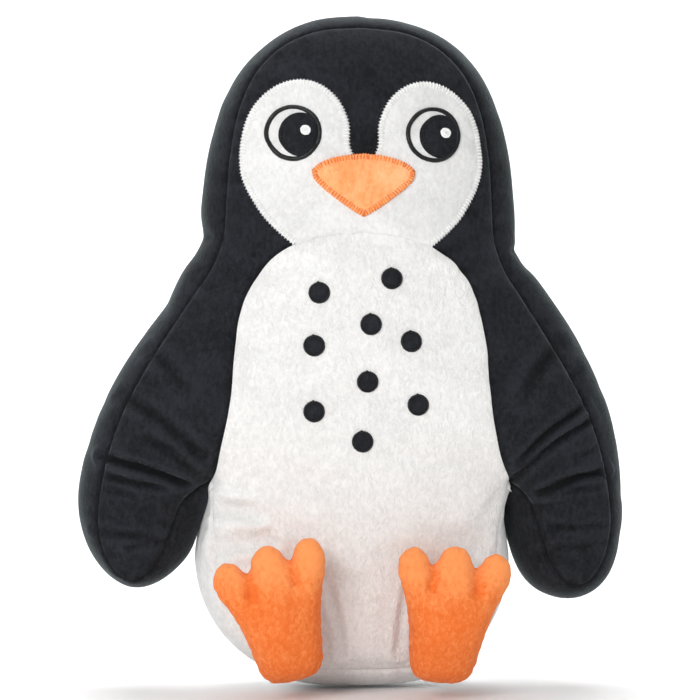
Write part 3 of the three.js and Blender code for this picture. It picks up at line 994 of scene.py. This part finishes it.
def stuff(obj, seam_points):
    """Simulates stuffing a slightly loose cover, and keeps only the wrinkles that it makes."""
    before = mesh_points(obj.data)
    held = obj.vertex_groups.new(name="held")
    held.add(seam_points, 1.0, "REPLACE")
    add_cloth(obj, held)
    for step in range(1, STUFFING_FRAMES + 1):
        bpy.context.scene.frame_set(step)
    apply_modifiers(obj)
    after = mesh_points(obj.data)
    set_mesh_points(obj.data, before)
    normals = vertex_normals(obj.data)
    move = ((after - before) * normals).sum(1)
    edges = np.array([edge.vertices[:] for edge in obj.data.edges])
    wrinkles = move - spread_out(move, edges, WRINKLE_SMOOTHING)
    to_seam = seam_found(before, before[seam_points])[1]
    settled = np.clip(to_seam / SETTLED, 0, 1) ** 1.5
    on_gusset = np.abs(before[:, 1]) < SEAM_HALF - 0.1
    wrinkles = np.clip(wrinkles, -STUFFING_CAP, STUFFING_CAP) * settled
    wrinkles *= np.where(on_gusset, GUSSET_WRINKLES, 1)
    set_mesh_points(obj.data, before + normals * wrinkles[:, None])


def spread_out(values, edges, times):
    """Values at a mesh's points, averaged over and over with their neighbours'."""
    i, j = edges.T
    count = np.bincount(i, minlength=len(values)) + np.bincount(j, minlength=len(values))
    for _ in range(times):
        around = np.bincount(i, values[j], len(values)) + np.bincount(j, values[i], len(values))
        values = (values + around / np.maximum(count, 1)) / 2
    return values


def beside_seams(points, outline):
    """How the two seams lift the cloth, how they draw it in, and each point's distance to them."""
    line = resample(np.vstack([outline, outline[:1]]), SEAM_STEP)
    lift = np.zeros(len(points))
    groove = np.zeros(len(points))
    to_seam = np.full(len(points), np.inf)
    for y, seed in ((-SEAM_HALF, 5), (SEAM_HALF, 8)):
        seam = np.stack([line[:, 0], np.full(len(line), y), line[:, 1]], 1)
        where, distance = seam_found(points, seam)
        to_seam = np.minimum(to_seam, distance)
        groove -= bell(distance, GROOVE["width"])
        pucker = PUCKER["height"] * wave(where * SEAM_STEP, PUCKER["length"], seed)
        lift += pucker * bell(distance - PUCKER["from_seam"], PUCKER["from_seam"])
    return lift, groove, to_seam


def neck_pinches(points, normals, cover):
    """How far the folds across the gusset lift it."""
    flat = points[:, [0, 2]]
    on_gusset = np.clip((0.6 - np.abs(normals[:, 1])) / 0.3, 0, 1)
    taper = bell(points[:, 1] + SEAM_HALF, 22) * on_gusset
    lift = np.zeros(len(points))
    for x, z, depth, width in GUSSET_FOLDS:
        beside = np.linalg.norm(flat - [x, z], axis=1) < 40
        lift -= depth * bell(cover.seam_distance_along([x, z], flat), width) * taper * beside
    return lift


def shape_cover(obj, cover):
    """Pulls the seams in, puckers the cloth beside them and adds the folds.

    Returns the painted shading: painted highlight on ridges and puckers, towards 1, and painted
    shade in the folds and seam grooves, towards -1.
    """
    points = mesh_points(obj.data)
    normals = vertex_normals(obj.data)
    flat = points[:, [0, 2]]
    front = normals[:, 1] < -0.35
    lift, groove, to_seam = beside_seams(points, cover.outline)
    folds = neck_pinches(points, normals, cover)
    folds[front] += fold_height(flat[front], FRONT_FOLDS)
    folds *= 1 - bell(to_seam, 2.4)
    belly_groove = -bell(nearest(flat, cover.belly_edge), BELLY_GROOVE["width"]) * front
    total = folds + lift * (1 - bell(to_seam, 2.4))
    total += GROOVE["depth"] * groove + BELLY_GROOVE["depth"] * belly_groove
    shape = points + normals * total[:, None]
    shape[:, 2] = np.maximum(shape[:, 2], FLOOR_GAP)
    set_mesh_points(obj.data, shape)
    # Painted highlight on fold ridges and puckers, painted shade in the folds and in both seam
    # grooves.
    return np.clip(0.22 * folds + 0.5 * lift, -0.7, 0.7) + 0.35 * (groove + belly_groove)


SHEETS = ["gusset", "back", "belly", "front"]
PANEL_LOOKS = {
    "hood": ("black_plush", ["hood_front_panel", "body_filling"]),
    "belly": ("belly_plush", ["belly_panel"]),
    "back": ("black_plush", ["back_panel"]),
    "head_gusset": ("black_plush", ["head_gusset"]),
    "lower_gusset": ("white_plush", ["lower_gusset"]),
    "wing_front": ("black_plush", ["wing_front_panel", "wing_filling"]),
    "wing_back": ("black_plush", ["wing_back_panel"]),
    "wing_gusset": ("black_plush", ["wing_gusset", "wing_root"]),
}


def bend_with_wing(piece):
    """Bakes a piece of a wing's cloth into its mesh where it stands; nothing makes it bend with the
    wing.
    """
    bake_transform(piece)


def add_cover():
    """Adds the cover, a piece for each panel, and returns its flat shape and its skin."""
    whole, cover, painted_shading = cover_whole()
    mesh = whole.data
    panel_of = np.empty(len(mesh.polygons), int)
    mesh.polygons.foreach_get("material_index", panel_of)
    sheets = [next((s for s in SHEETS if s in panel), "front") for panel in Cover.PANELS]
    sheet_of_face = np.array(sheets)[panel_of]
    normals = {sheet: sheet_normals(mesh, sheet_of_face, sheet) for sheet in SHEETS}
    for number, (panel, sheet) in enumerate(zip(Cover.PANELS, sheets)):
        side, _, wing_part = panel.partition("_wing_")
        material, nodes = PANEL_LOOKS[f"wing_{wing_part}" if wing_part else panel]
        faces = np.flatnonzero(panel_of == number)
        piece = split_piece(f"plush_{panel}", mesh, normals[sheet], painted_shading, faces,
                            MATERIALS[material])
        if wing_part:
            bend_with_wing(piece)
            nodes = [f"{side}_{node}" for node in nodes]
        dress(piece, None if wing_part else "torso", nodes)
    surface = Surface(mesh)
    bpy.data.objects.remove(whole)
    return cover, surface


# ---------------- cloth patches and thread


def rounded(distance, reach):
    """A quarter round that rises from 0 at an edge to 1 at `reach` inside it."""
    return np.sqrt(1 - (1 - np.clip(distance / reach, 0, 1)) ** 2)


def patch_height(distance, thickness, holes):
    """Height of a sewn-on patch: a rounded edge, and a dip along its row of needle holes."""
    return thickness * rounded(distance, 1.2) - 0.35 * bell(distance - holes, 0.7)


def add_patch(name, outline, surface, height, holes, sunk, spacing, material, nodes):
    """A piece of cloth sewn onto the skin, with its edge turned down to `sunk` below it.

    `height` gives how high it stands at a distance inside its edge.
    """
    rings = [moved_in(outline, d) for d in (0.4, 1.2, holes - 0.7, holes, holes + 0.8)]
    flat, triangles = flat_mesh(outline, spacing=spacing, rings=rings)
    top = surface.lay(flat, height(edge_distance(flat, outline)))
    skirt = surface.lay(outline, -sunk)
    faces = [tuple(t) for t in triangles] + flipped(band_faces([0, len(top)], len(outline)))
    add_piece(name, np.vstack([top, skirt]), faces, material, nodes)


def tubes(paths, radius, sides=6):
    """Round threads along paths of points, as the points and faces of one mesh."""
    angles = 2 * math.pi * np.arange(sides) / sides
    parts = []
    for path in paths:
        last = len(path) - 1
        rings = []
        for k, p in enumerate(path):
            along = path[min(k + 1, last)] - path[max(k - 1, 0)]
            across = np.cross(along / np.linalg.norm(along), [0, 1, 0.13])
            across /= np.linalg.norm(across)
            up = np.cross(across, along / np.linalg.norm(along))
            thick = radius * (0.55 if k in (0, last) else 1.0)
            rings.append(p + thick * (np.outer(np.cos(angles), across)
                                      + np.outer(np.sin(angles), up)))
        faces = band_faces(range(0, len(path) * sides, sides), sides)
        faces.append(tuple(reversed(range(sides))))
        faces.append(tuple(range(last * sides, len(path) * sides)))
        parts.append((np.vstack(rings), faces))
    return joined(parts)


def add_threads(name, paths, radius, material, nodes=()):
    add_piece(name, *tubes(paths, radius), material, nodes)


def edge_stitches(line, inward, surface, stitch, height, seed, side=-1):
    """Paths of the straight stitches that hold a patch's edge.

    `line` is the edge, `inward` points into the patch, and `height` gives the patch's height at a
    distance inside its edge.
    """
    rng = np.random.default_rng(seed)
    shares = np.array([0.0, 0.1, 0.35, 0.65, 0.9, 1.0])
    above = np.array([-0.5, 0.7, 0.95, 0.95, 0.7, -0.5]) * stitch["radius"]
    spacing = stitch["spacing"]
    steps = np.concatenate([[0], np.cumsum(np.linalg.norm(np.diff(line, axis=0), axis=1))])
    paths = []
    for along in np.arange(spacing / 2, steps[-1], spacing):
        along += rng.normal(0, 0.05 * spacing)
        place = np.array([np.interp(along, steps, line[:, k]) for k in (0, 1)])
        normal = np.array([np.interp(along, steps, inward[:, k]) for k in (0, 1)])
        slant = rng.normal(0, 0.05) * np.array([normal[1], -normal[0]])
        direction = (normal + slant) / np.linalg.norm(normal + slant)
        reach = shares * (stitch["length"] + rng.normal(0, 0.12)) - stitch["outside"]
        flat = place + reach[:, None] * direction
        lift = np.where(reach > 0, height(np.maximum(reach, 0)), 0) + above
        paths.append(surface.lay(flat, lift, side))
    return paths


def satin_ring(centre, inner, outer, surface, low, high, seed):
    """A band of radial satin stitches: points and faces, with a ridge for each thread."""
    rng = np.random.default_rng(seed)
    threads = max(24, round(2 * math.pi * outer / SATIN_SPACING))
    count = 2 * threads
    angles = 2 * math.pi * np.arange(count) / count
    around = np.stack([np.cos(angles), np.sin(angles)], 1)
    wobble = np.repeat(rng.normal(0, SATIN_RIDGE, threads), 2)
    points = []
    for row in range(SATIN_ROWS + 1):
        share = row / SATIN_ROWS
        radius = inner + (outer - inner) * share + wobble * (row in (0, SATIN_ROWS))
        dome = math.sqrt(1 - (2 * share - 1) ** 2)
        ridge = np.where(np.arange(count) % 2, -SATIN_RIDGE, SATIN_RIDGE) * dome
        flat = np.array(centre) + radius[:, None] * around
        points.append(surface.lay(flat, low + (high - low) * dome + ridge))
    starts = range(0, (SATIN_ROWS + 1) * count, count)
    return np.vstack(points), flipped(band_faces(starts, count))


def circle(centre, radius, spacing):
    """A clockwise circle."""
    count = max(12, round(2 * math.pi * radius / spacing))
    angles = -2 * math.pi * np.arange(count) / count
    return np.array(centre) + radius * np.stack([np.cos(angles), np.sin(angles)], 1)


# ---------------- face


def face_height(distance):
    """How high the face stands at a distance inside its edge."""
    return patch_height(distance, FACE_THICKNESS, FACE_HOLES)


def beak_height(distance):
    """The same for the beak, which lies on the face."""
    return FACE_THICKNESS + patch_height(distance, BEAK_THICKNESS, BEAK_HOLES)


def pupil_height(distance):
    """The same for a pupil."""
    dip = 0.3 * bell(distance - PUPIL_HOLES, 0.45)
    return FACE_THICKNESS + 0.75 * rounded(distance, 0.9) - dip


def add_face(surface):
    edge = smooth_line(FACE_EDGE, 2.0)
    outline = mirrored(np.vstack([edge[:-1], smooth_line(FACE_BOTTOM, 2.0)]))
    add_patch("face_cloth", outline, surface, face_height, FACE_HOLES, 1.0, 2.4, "white_plush",
              ["face_patch"])
    inward = -outward_normals(outline)
    right = slice(1, len(edge))
    left = slice(len(outline) - len(edge) + 1, len(outline))
    for side, part, seed in (("right", right, 12), ("left", left, 11)):
        paths = edge_stitches(outline[part], inward[part], surface, FACE_STITCH, face_height, seed)
        add_threads(f"{side}_face_stitches", paths, FACE_STITCH["radius"], "white_thread",
                    [f"{side}_face_stitching"])


def add_beak(surface):
    half = np.vstack([smooth_line(BEAK_TOP, 1.5)[:-1], smooth_line(BEAK_BOTTOM, 1.5)])
    outline = mirrored(half)
    add_patch("beak_cloth", outline, surface, beak_height, BEAK_HOLES, 0.5, 2.0, "beak_plush",
              ["beak_patch"])
    round_trip = [*range(len(outline)), 0]
    inward = -outward_normals(outline)
    paths = edge_stitches(outline[round_trip], inward[round_trip], surface, BEAK_STITCH,
                          beak_height, 13)
    add_threads("beak_stitches", paths, BEAK_STITCH["radius"], "orange_thread",
                ["beak_stitching"])


def kept_near(flat, centre, reach):
    """Flat points, with those past `reach` from the centre brought back to it."""
    away = flat - centre
    distance = np.linalg.norm(away, axis=1, keepdims=True)
    return np.where(distance > reach, centre + away / distance * reach, flat)


def add_pupil(side, eye, surface):
    """The pupil's cloth, cut off under the eye's ring, and the stitches along its free edge."""
    middle = (EYE["inner"] + EYE["outer"]) / 2
    centre = eye + [PUPIL["dx"], PUPIL["dz"]]
    whole = circle(centre, PUPIL["radius"], 0.9)
    rings = [circle(centre, PUPIL["radius"] - d, 0.9) for d in (0.45, 1.1, 1.8, PUPIL_HOLES, 3.0)]
    flat, triangles = flat_mesh(whole, spacing=1.3, rings=rings)
    lift = pupil_height(PUPIL["radius"] - np.linalg.norm(flat - centre, axis=1))
    top = surface.lay(kept_near(flat, eye, middle), lift)
    add_piece(f"{side}_pupil_cloth", top, triangles, "pupil_cloth", [f"{side}_pupil"])
    edge = kept_near(whole, eye, middle)
    free = np.linalg.norm(edge - eye, axis=1) < EYE["inner"] - 0.8
    turned = np.roll(np.arange(len(edge)), -int(np.argmin(free)))
    chosen = turned[free[turned]]
    inward = -outward_normals(whole)
    paths = edge_stitches(edge[chosen], inward[chosen], surface, PUPIL_STITCH, pupil_height, 31)
    add_threads(f"{side}_pupil_stitches", paths, PUPIL_STITCH["radius"], "black_thread")


def add_eye(side, surface):
    """The satin ring, the pupil, and the highlight: a satin ring round a satin disc."""
    eye = np.array([SIDES[side] * EYE["x"], EYE["z"]])
    ring = satin_ring(eye, EYE["inner"], EYE["outer"], surface, FACE_THICKNESS - 0.3,
                      FACE_THICKNESS + 1.25, 21)
    add_piece(f"{side}_eye_satin_ring", *ring, "black_thread", [f"{side}_eye_ring"])
    add_pupil(side, eye, surface)
    spot = eye + [HIGHLIGHT["dx"], HIGHLIGHT["dz"]]
    low = FACE_THICKNESS + 0.7
    parts = [
        satin_ring(spot, 1.45, HIGHLIGHT["radius"], surface, low, low + 0.75, 41),
        satin_ring(spot, 0.0, 1.6, surface, low + 0.1, low + 0.7, 42),
    ]
    add_piece(f"{side}_eye_highlight_satin", *joined(parts), "white_thread",
              [f"{side}_eye_highlight"])


# ---------------- belly dots


def add_dot(number, centre, surface):
    """A dot's cloth, its satin edge, and the knot where its thread ends."""
    reach = DOT_CLOTH + 0.2
    flat, triangles = flat_mesh(circle(centre, reach, 1.1), spacing=1.3)
    inside_by = reach - np.linalg.norm(flat - centre, axis=1)
    top = surface.lay(flat, 0.55 + 0.5 * rounded(inside_by, 2.5))
    satin = satin_ring(centre, DOT_CLOTH, DOT_RADIUS, surface, -0.25, 1.25, 50 + number)
    knot = satin_ring((centre[0] - 0.6, centre[1] + DOT_RADIUS - 0.4), 0.0, 0.75, surface, 0.0,
                      1.5, 70 + number)
    points, faces = joined([(top, triangles), satin, knot])
    is_thread = np.arange(len(faces)) >= len(triangles)
    obj = new_object(f"belly_dot_{number}_cloth", points, faces,
                     [MATERIALS["pupil_cloth"], MATERIALS["black_thread"]], is_thread.astype(int))
    dress(obj, "torso", [f"belly_dot_{number}"])


# ---------------- feet


def foot_matrix(side):
    """How a foot's own frame is turned, and where its origin is, in the cushion's frame."""
    pivot = np.array(JOINTS[f"{side}_foot_tilt"]["pos_m"]) / MM - HOME
    tilt = Matrix.Rotation(math.radians(FOOT_TILT), 3, "X")
    splay = Matrix.Rotation(math.radians(FOOT_SPLAY[side]), 3, "Y")
    return np.array(tilt @ splay), pivot


def foot_outline(side):
    """A foot's seam: the toes lean outwards and, on one foot, the inner ones reach higher."""
    outline = mirrored(smooth_line(FOOT_EDGE, FOOT_SPACING))
    toe_share = np.clip(outline[:, 1] / 60, 0, 1)
    lean = SIDES[side] * 0.035 * (outline[:, 1] - 20) * toe_share * 0.4
    slant = -SIDES[side] * FOOT_SLANT[side] * outline[:, 0] * toe_share**2
    return outline + np.stack([lean, slant + FOOT_RISE[side]], 1)


def notch_dimples(flat, side):
    """How deep the toe notches pull the cloth in, at flat points of a foot."""
    depth = np.zeros(len(flat))
    for sign in SIDES.values():
        rise = FOOT_RISE[side] - SIDES[side] * FOOT_SLANT[side] * sign * 12
        line = np.array([[sign * NOTCH_X, NOTCH_TOP + rise],
                         [sign * (NOTCH_X + 0.8), NOTCH_BOTTOM + rise]])
        depth += NOTCH_DEPTH * bell(nearest(flat, line), NOTCH_WIDTH)
    return depth


def foot_thickness(flat, triangles, count, side, number):
    """How far stuffing lifts a foot's cloth, with soft lumps, at its flat points."""
    lift = stuffing_height(flat, triangles, np.arange(count), FOOT_REACH) ** FOOT_POWER
    rng = np.random.default_rng(90 + number)
    lumps = sum(
        0.5 * np.sin(flat @ rng.normal(0, 0.13, 2) + 6.28 * rng.random()) for _ in range(5)
    )
    return FOOT_CROWN * lift / lift.max() + (lumps - notch_dimples(flat, side)) * lift


def foot_seam_pull(shape, seam, number):
    """How far a foot's seam draws in and puckers the cloth beside it."""
    where, distance = seam_found(shape, resample(np.vstack([seam, seam[:1]]), 1.0))
    pucker = 0.4 * wave(where.astype(float), 8.0, 60 + number)
    return pucker * bell(distance - 3, 4.0) - 0.5 * bell(distance, 1.4)


def add_foot(side, number):
    outline = foot_outline(side)
    count = len(outline)
    rings = [moved_in(outline, d) for d in (0.9, 2.2)]
    flat, triangles = flat_mesh(outline, spacing=FOOT_SPACING, rings=rings)
    thick = foot_thickness(flat, triangles, count, side, number)
    low, high = outline[:, 1].min(), outline[:, 1].max()
    bow = FOOT_BOW * np.sin(math.pi * (flat[:, 1] - low) / (high - low))
    x, z = flat[:, 0] + FOOT_SHIFT[side], flat[:, 1]
    front = np.stack([x, -thick - bow, z], 1)
    back = np.stack([x, FOOT_BACK * thick - bow, z], 1)[count:]
    behind = np.where(triangles < count, triangles, triangles + len(flat) - count)
    faces = [*triangles, *behind[:, ::-1]]
    obj = new_object(f"{side}_foot_plush", np.vstack([front, back]), faces,
                     [MATERIALS["orange_plush"]])
    subdivide(obj, 2)
    shape = mesh_points(obj.data)
    pull = foot_seam_pull(shape, front[:count], number)
    shape = shape + vertex_normals(obj.data) * pull[:, None]
    rotation, pivot = foot_matrix(side)
    set_mesh_points(obj.data, shape @ rotation.T + pivot)
    dimples = notch_dimples(shape[:, [0, 2]] - [FOOT_SHIFT[side], 0], side)
    # Painted shade along the seam groove and in the toe notches, painted highlight on the puckers.
    add_painted_shading(obj, 0.6 * pull - 0.1 * dimples)
    dress(obj, f"{side}_foot",
          [f"{side}_foot_filling", f"{side}_foot_sole_panel", f"{side}_foot_top_panel"])


def add_heel_gather(side):
    """The gathered end of a foot's cloth, from its heel to the front seam of the body."""
    low, high = box_of(f"{side}_heel_seam")
    middle = (low + high) / 2
    half_width = (high[0] - low[0]) / 2
    angles = 2 * math.pi * np.arange(GATHER_POINTS) / GATHER_POINTS
    start, end = low[1] - GATHER_OVERLAP["foot"], high[1] + GATHER_OVERLAP["body"]
    rings = []
    for share in np.linspace(0, 1, GATHER_ROWS):
        waist = 1 - GATHER_WAIST * math.sin(math.pi * share)
        gather = waist * (1 + GATHER_RIPPLE * np.sin(GATHER_FOLDS * angles))
        across = half_width * (1.15 - 0.15 * share) * gather
        tall = (GATHER_HEIGHT["foot"] * (1 - share) + GATHER_HEIGHT["body"] * share) * gather
        y = np.full(GATHER_POINTS, start + share * (end - start))
        rings.append(np.stack([middle[0] + across * np.cos(angles), y,
                               middle[2] + tall * np.sin(angles)], 1))
    size = GATHER_ROWS * GATHER_POINTS
    faces = band_faces(range(0, size, GATHER_POINTS), GATHER_POINTS)
    faces.append(tuple(reversed(range(GATHER_POINTS))))
    faces.append(tuple(range(size - GATHER_POINTS, size)))
    obj = new_object(f"{side}_heel_gather", np.vstack(rings), faces, [MATERIALS["orange_plush"]])
    subdivide(obj, 1)
    add_painted_shading(obj, np.zeros(len(obj.data.vertices)))
    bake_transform(obj)
    dress(obj, None, [f"{side}_heel_seam"])


# ---------------- back


def label_sheet(left, right, bottom, top, surface):
    """The label's points, its loose lower end curling off the back, and its faces."""
    x = np.linspace(left, right, LABEL_COLUMNS)
    sideways = 0.7 + 0.3 * np.cos((x - left) / (right - left) * math.pi)
    points = []
    for layer in LABEL_LAYERS:
        for z in np.linspace(bottom, top, LABEL_ROWS):
            curl = LABEL_CURL * ((top - z) / (top - bottom)) ** 2 * sideways
            points.append(surface.lay(np.stack([x, np.full(len(x), z)], 1), layer + curl, 1))
    size = LABEL_ROWS * LABEL_COLUMNS
    ids = np.arange(size).reshape(LABEL_ROWS, LABEL_COLUMNS)
    corners = (ids[:-1, :-1], ids[:-1, 1:], ids[1:, 1:], ids[1:, :-1])
    faces = []
    for quad in zip(*(corner.flat for corner in corners)):
        faces += [quad, tuple(size + v for v in reversed(quad))]
    rim = [*ids[:, 0], *ids[-1, 1:], *ids[-2::-1, -1], *ids[0, -2:0:-1]]
    faces += [(a, b, size + b, size + a) for a, b in zip(rim, rim[1:] + rim[:1])]
    return np.vstack(points), faces


def add_label(surface):
    """The blank label, sewn along its top edge."""
    (left, _, bottom), (right, _, top) = box_of("care_label")
    sheet = label_sheet(left, right, bottom, top, surface)
    add_piece("care_label_ribbon", *sheet, "satin_label", ["care_label"])
    along = np.array([0, 0.4, 1.2, 2, 2.3])
    paths = [
        surface.lay(np.stack([x + along, np.full(len(along), top - 2.0)], 1),
                    [0.9, 1.5, 1.55, 1.5, 0.9], 1)
        for x in np.arange(left + 1, right - 2, 3.0)
    ]
    add_threads("care_label_stitches", paths, 0.2, "white_thread")


def just_above(distance):
    """The height of thread that lies straight on the cloth."""
    return np.full(len(distance), 0.25)


def add_closing_seam(cover, surface):
    """Hand stitches that close the cover, just inside the lower seam of the back."""
    low, high = box_of("closing_seam")
    half_length = (high[0] - low[0]) / 2
    x, z = cover.outline.T
    part = (np.abs(x) < half_length) & (z < 100)
    inward = -cover.normals[part]
    line = cover.outline[part] + CLOSING_INSET * inward
    paths = edge_stitches(line, inward, surface, CLOSING_STITCH, just_above, 81, side=1)
    add_threads("closing_seam_stitches", paths, CLOSING_STITCH["radius"], "black_thread",
                ["closing_seam"])


def add_thread_ends(surface):
    """The short tuft of cut threads that is left at each armpit."""
    paths = []
    for sign in SIDES.values():
        x, z = on_side(ARMPIT, sign) * [sign, 1] - [1.5, 1]
        for k in range(TUFT_THREADS):
            reach = np.linspace(0, 1, 4)
            flat = np.stack([sign * (x + (0.4 + 0.5 * k) * reach), z - 0.7 * k - 2.2 * reach], 1)
            paths.append(surface.lay(flat, -0.3 + 1.8 * np.sqrt(reach)))
    add_threads("armpit_thread_ends", paths, 0.32, "white_thread")


# ---------------- camera, light and floor


def add_camera():
    data = bpy.data.cameras.new("camera")
    camera = bpy.data.objects.new("camera", data)
    bpy.context.scene.collection.objects.link(camera)
    target = Vector((-0.0024, MIDDLE_Y * MM, 0.2))
    offset = Vector((math.sin(CAMERA_TURN), -math.cos(CAMERA_TURN), 0)) * CAMERA_DISTANCE
    camera.location = target + offset
    turn = (-offset).to_track_quat("-Z", "Y").to_matrix() @ Matrix.Rotation(CAMERA_ROLL, 3, "Z")
    camera.rotation_euler = turn.to_euler()
    data.sensor_width = SENSOR_WIDTH
    data.lens = SENSOR_WIDTH * CAMERA_DISTANCE / VIEW_WIDTH
    bpy.context.scene.camera = camera


def add_light(name, place, target, size, power):
    data = bpy.data.lights.new(name, "AREA")
    data.size = size
    data.energy = power
    light = bpy.data.objects.new(name, data)
    light.location = place
    light.rotation_euler = (Vector(target) - Vector(place)).to_track_quat("-Z", "Y").to_euler()
    bpy.context.scene.collection.objects.link(light)


def add_floor():
    """A pale floor that curves up into a backdrop."""
    profile = [(-FLOOR_FRONT, 0.0)]
    for angle in np.radians(np.linspace(0, 90, 13)):
        profile.append((FLOOR_BACK + FLOOR_BEND * math.sin(angle),
                        FLOOR_BEND * (1 - math.cos(angle))))
    profile.append((FLOOR_BACK + FLOOR_BEND, BACKDROP_HEIGHT))
    points = [(x, y, z - 0.0005) for y, z in profile for x in (-FLOOR_SIDE, FLOOR_SIDE)]
    faces = [(2 * k, 2 * k + 1, 2 * k + 3, 2 * k + 2) for k in range(len(profile) - 1)]
    mesh = bpy.data.meshes.new("floor")
    mesh.from_pydata(points, [], faces)
    mesh.polygons.foreach_set("use_smooth", [True] * len(faces))
    n = Nodes("pale_floor")
    n.finish((0.93, 0.93, 0.93, 1), 0.9, n.bump(n.noise(300.0), 0.05, 0.001))
    mesh.materials.append(n.material)
    floor = bpy.data.objects.new("floor", mesh)
    bpy.context.scene.collection.objects.link(floor)


def add_studio():
    """Soft light from the left and the front, and a backdrop that is lit white."""
    world = bpy.data.worlds.new("studio")
    world.use_nodes = True
    background = world.node_tree.nodes["Background"]
    background.inputs["Color"].default_value = (1, 1, 1, 1)
    background.inputs["Strength"].default_value = 0.36
    bpy.context.scene.world = world
    middle = (0, 0, 0.2)
    add_light("key", (-1.0, -1.7, 0.9), middle, 0.8, 23)
    add_light("fill", (1.3, -1.5, 0.2), middle, 1.4, 5.5)
    add_light("top", (-0.2, -0.2, 1.8), middle, 1.2, 2)
    add_light("backdrop_light", (0, 0.6, 1.9), (0, 1.7, 0.3), 1.5, 42)
    bpy.context.scene.view_settings.view_transform = "Standard"


add_camera()
add_floor()
add_studio()
cover, surface = add_cover()
add_face(surface)
add_beak(surface)
for side in SIDES:
    add_eye(side, surface)
for number, centre in enumerate(DOTS, 1):
    add_dot(number, centre, surface)
for number, side in enumerate(SIDES):
    add_foot(side, number)
    add_heel_gather(side)
add_label(surface)
add_closing_seam(cover, surface)
add_thread_ends(surface)
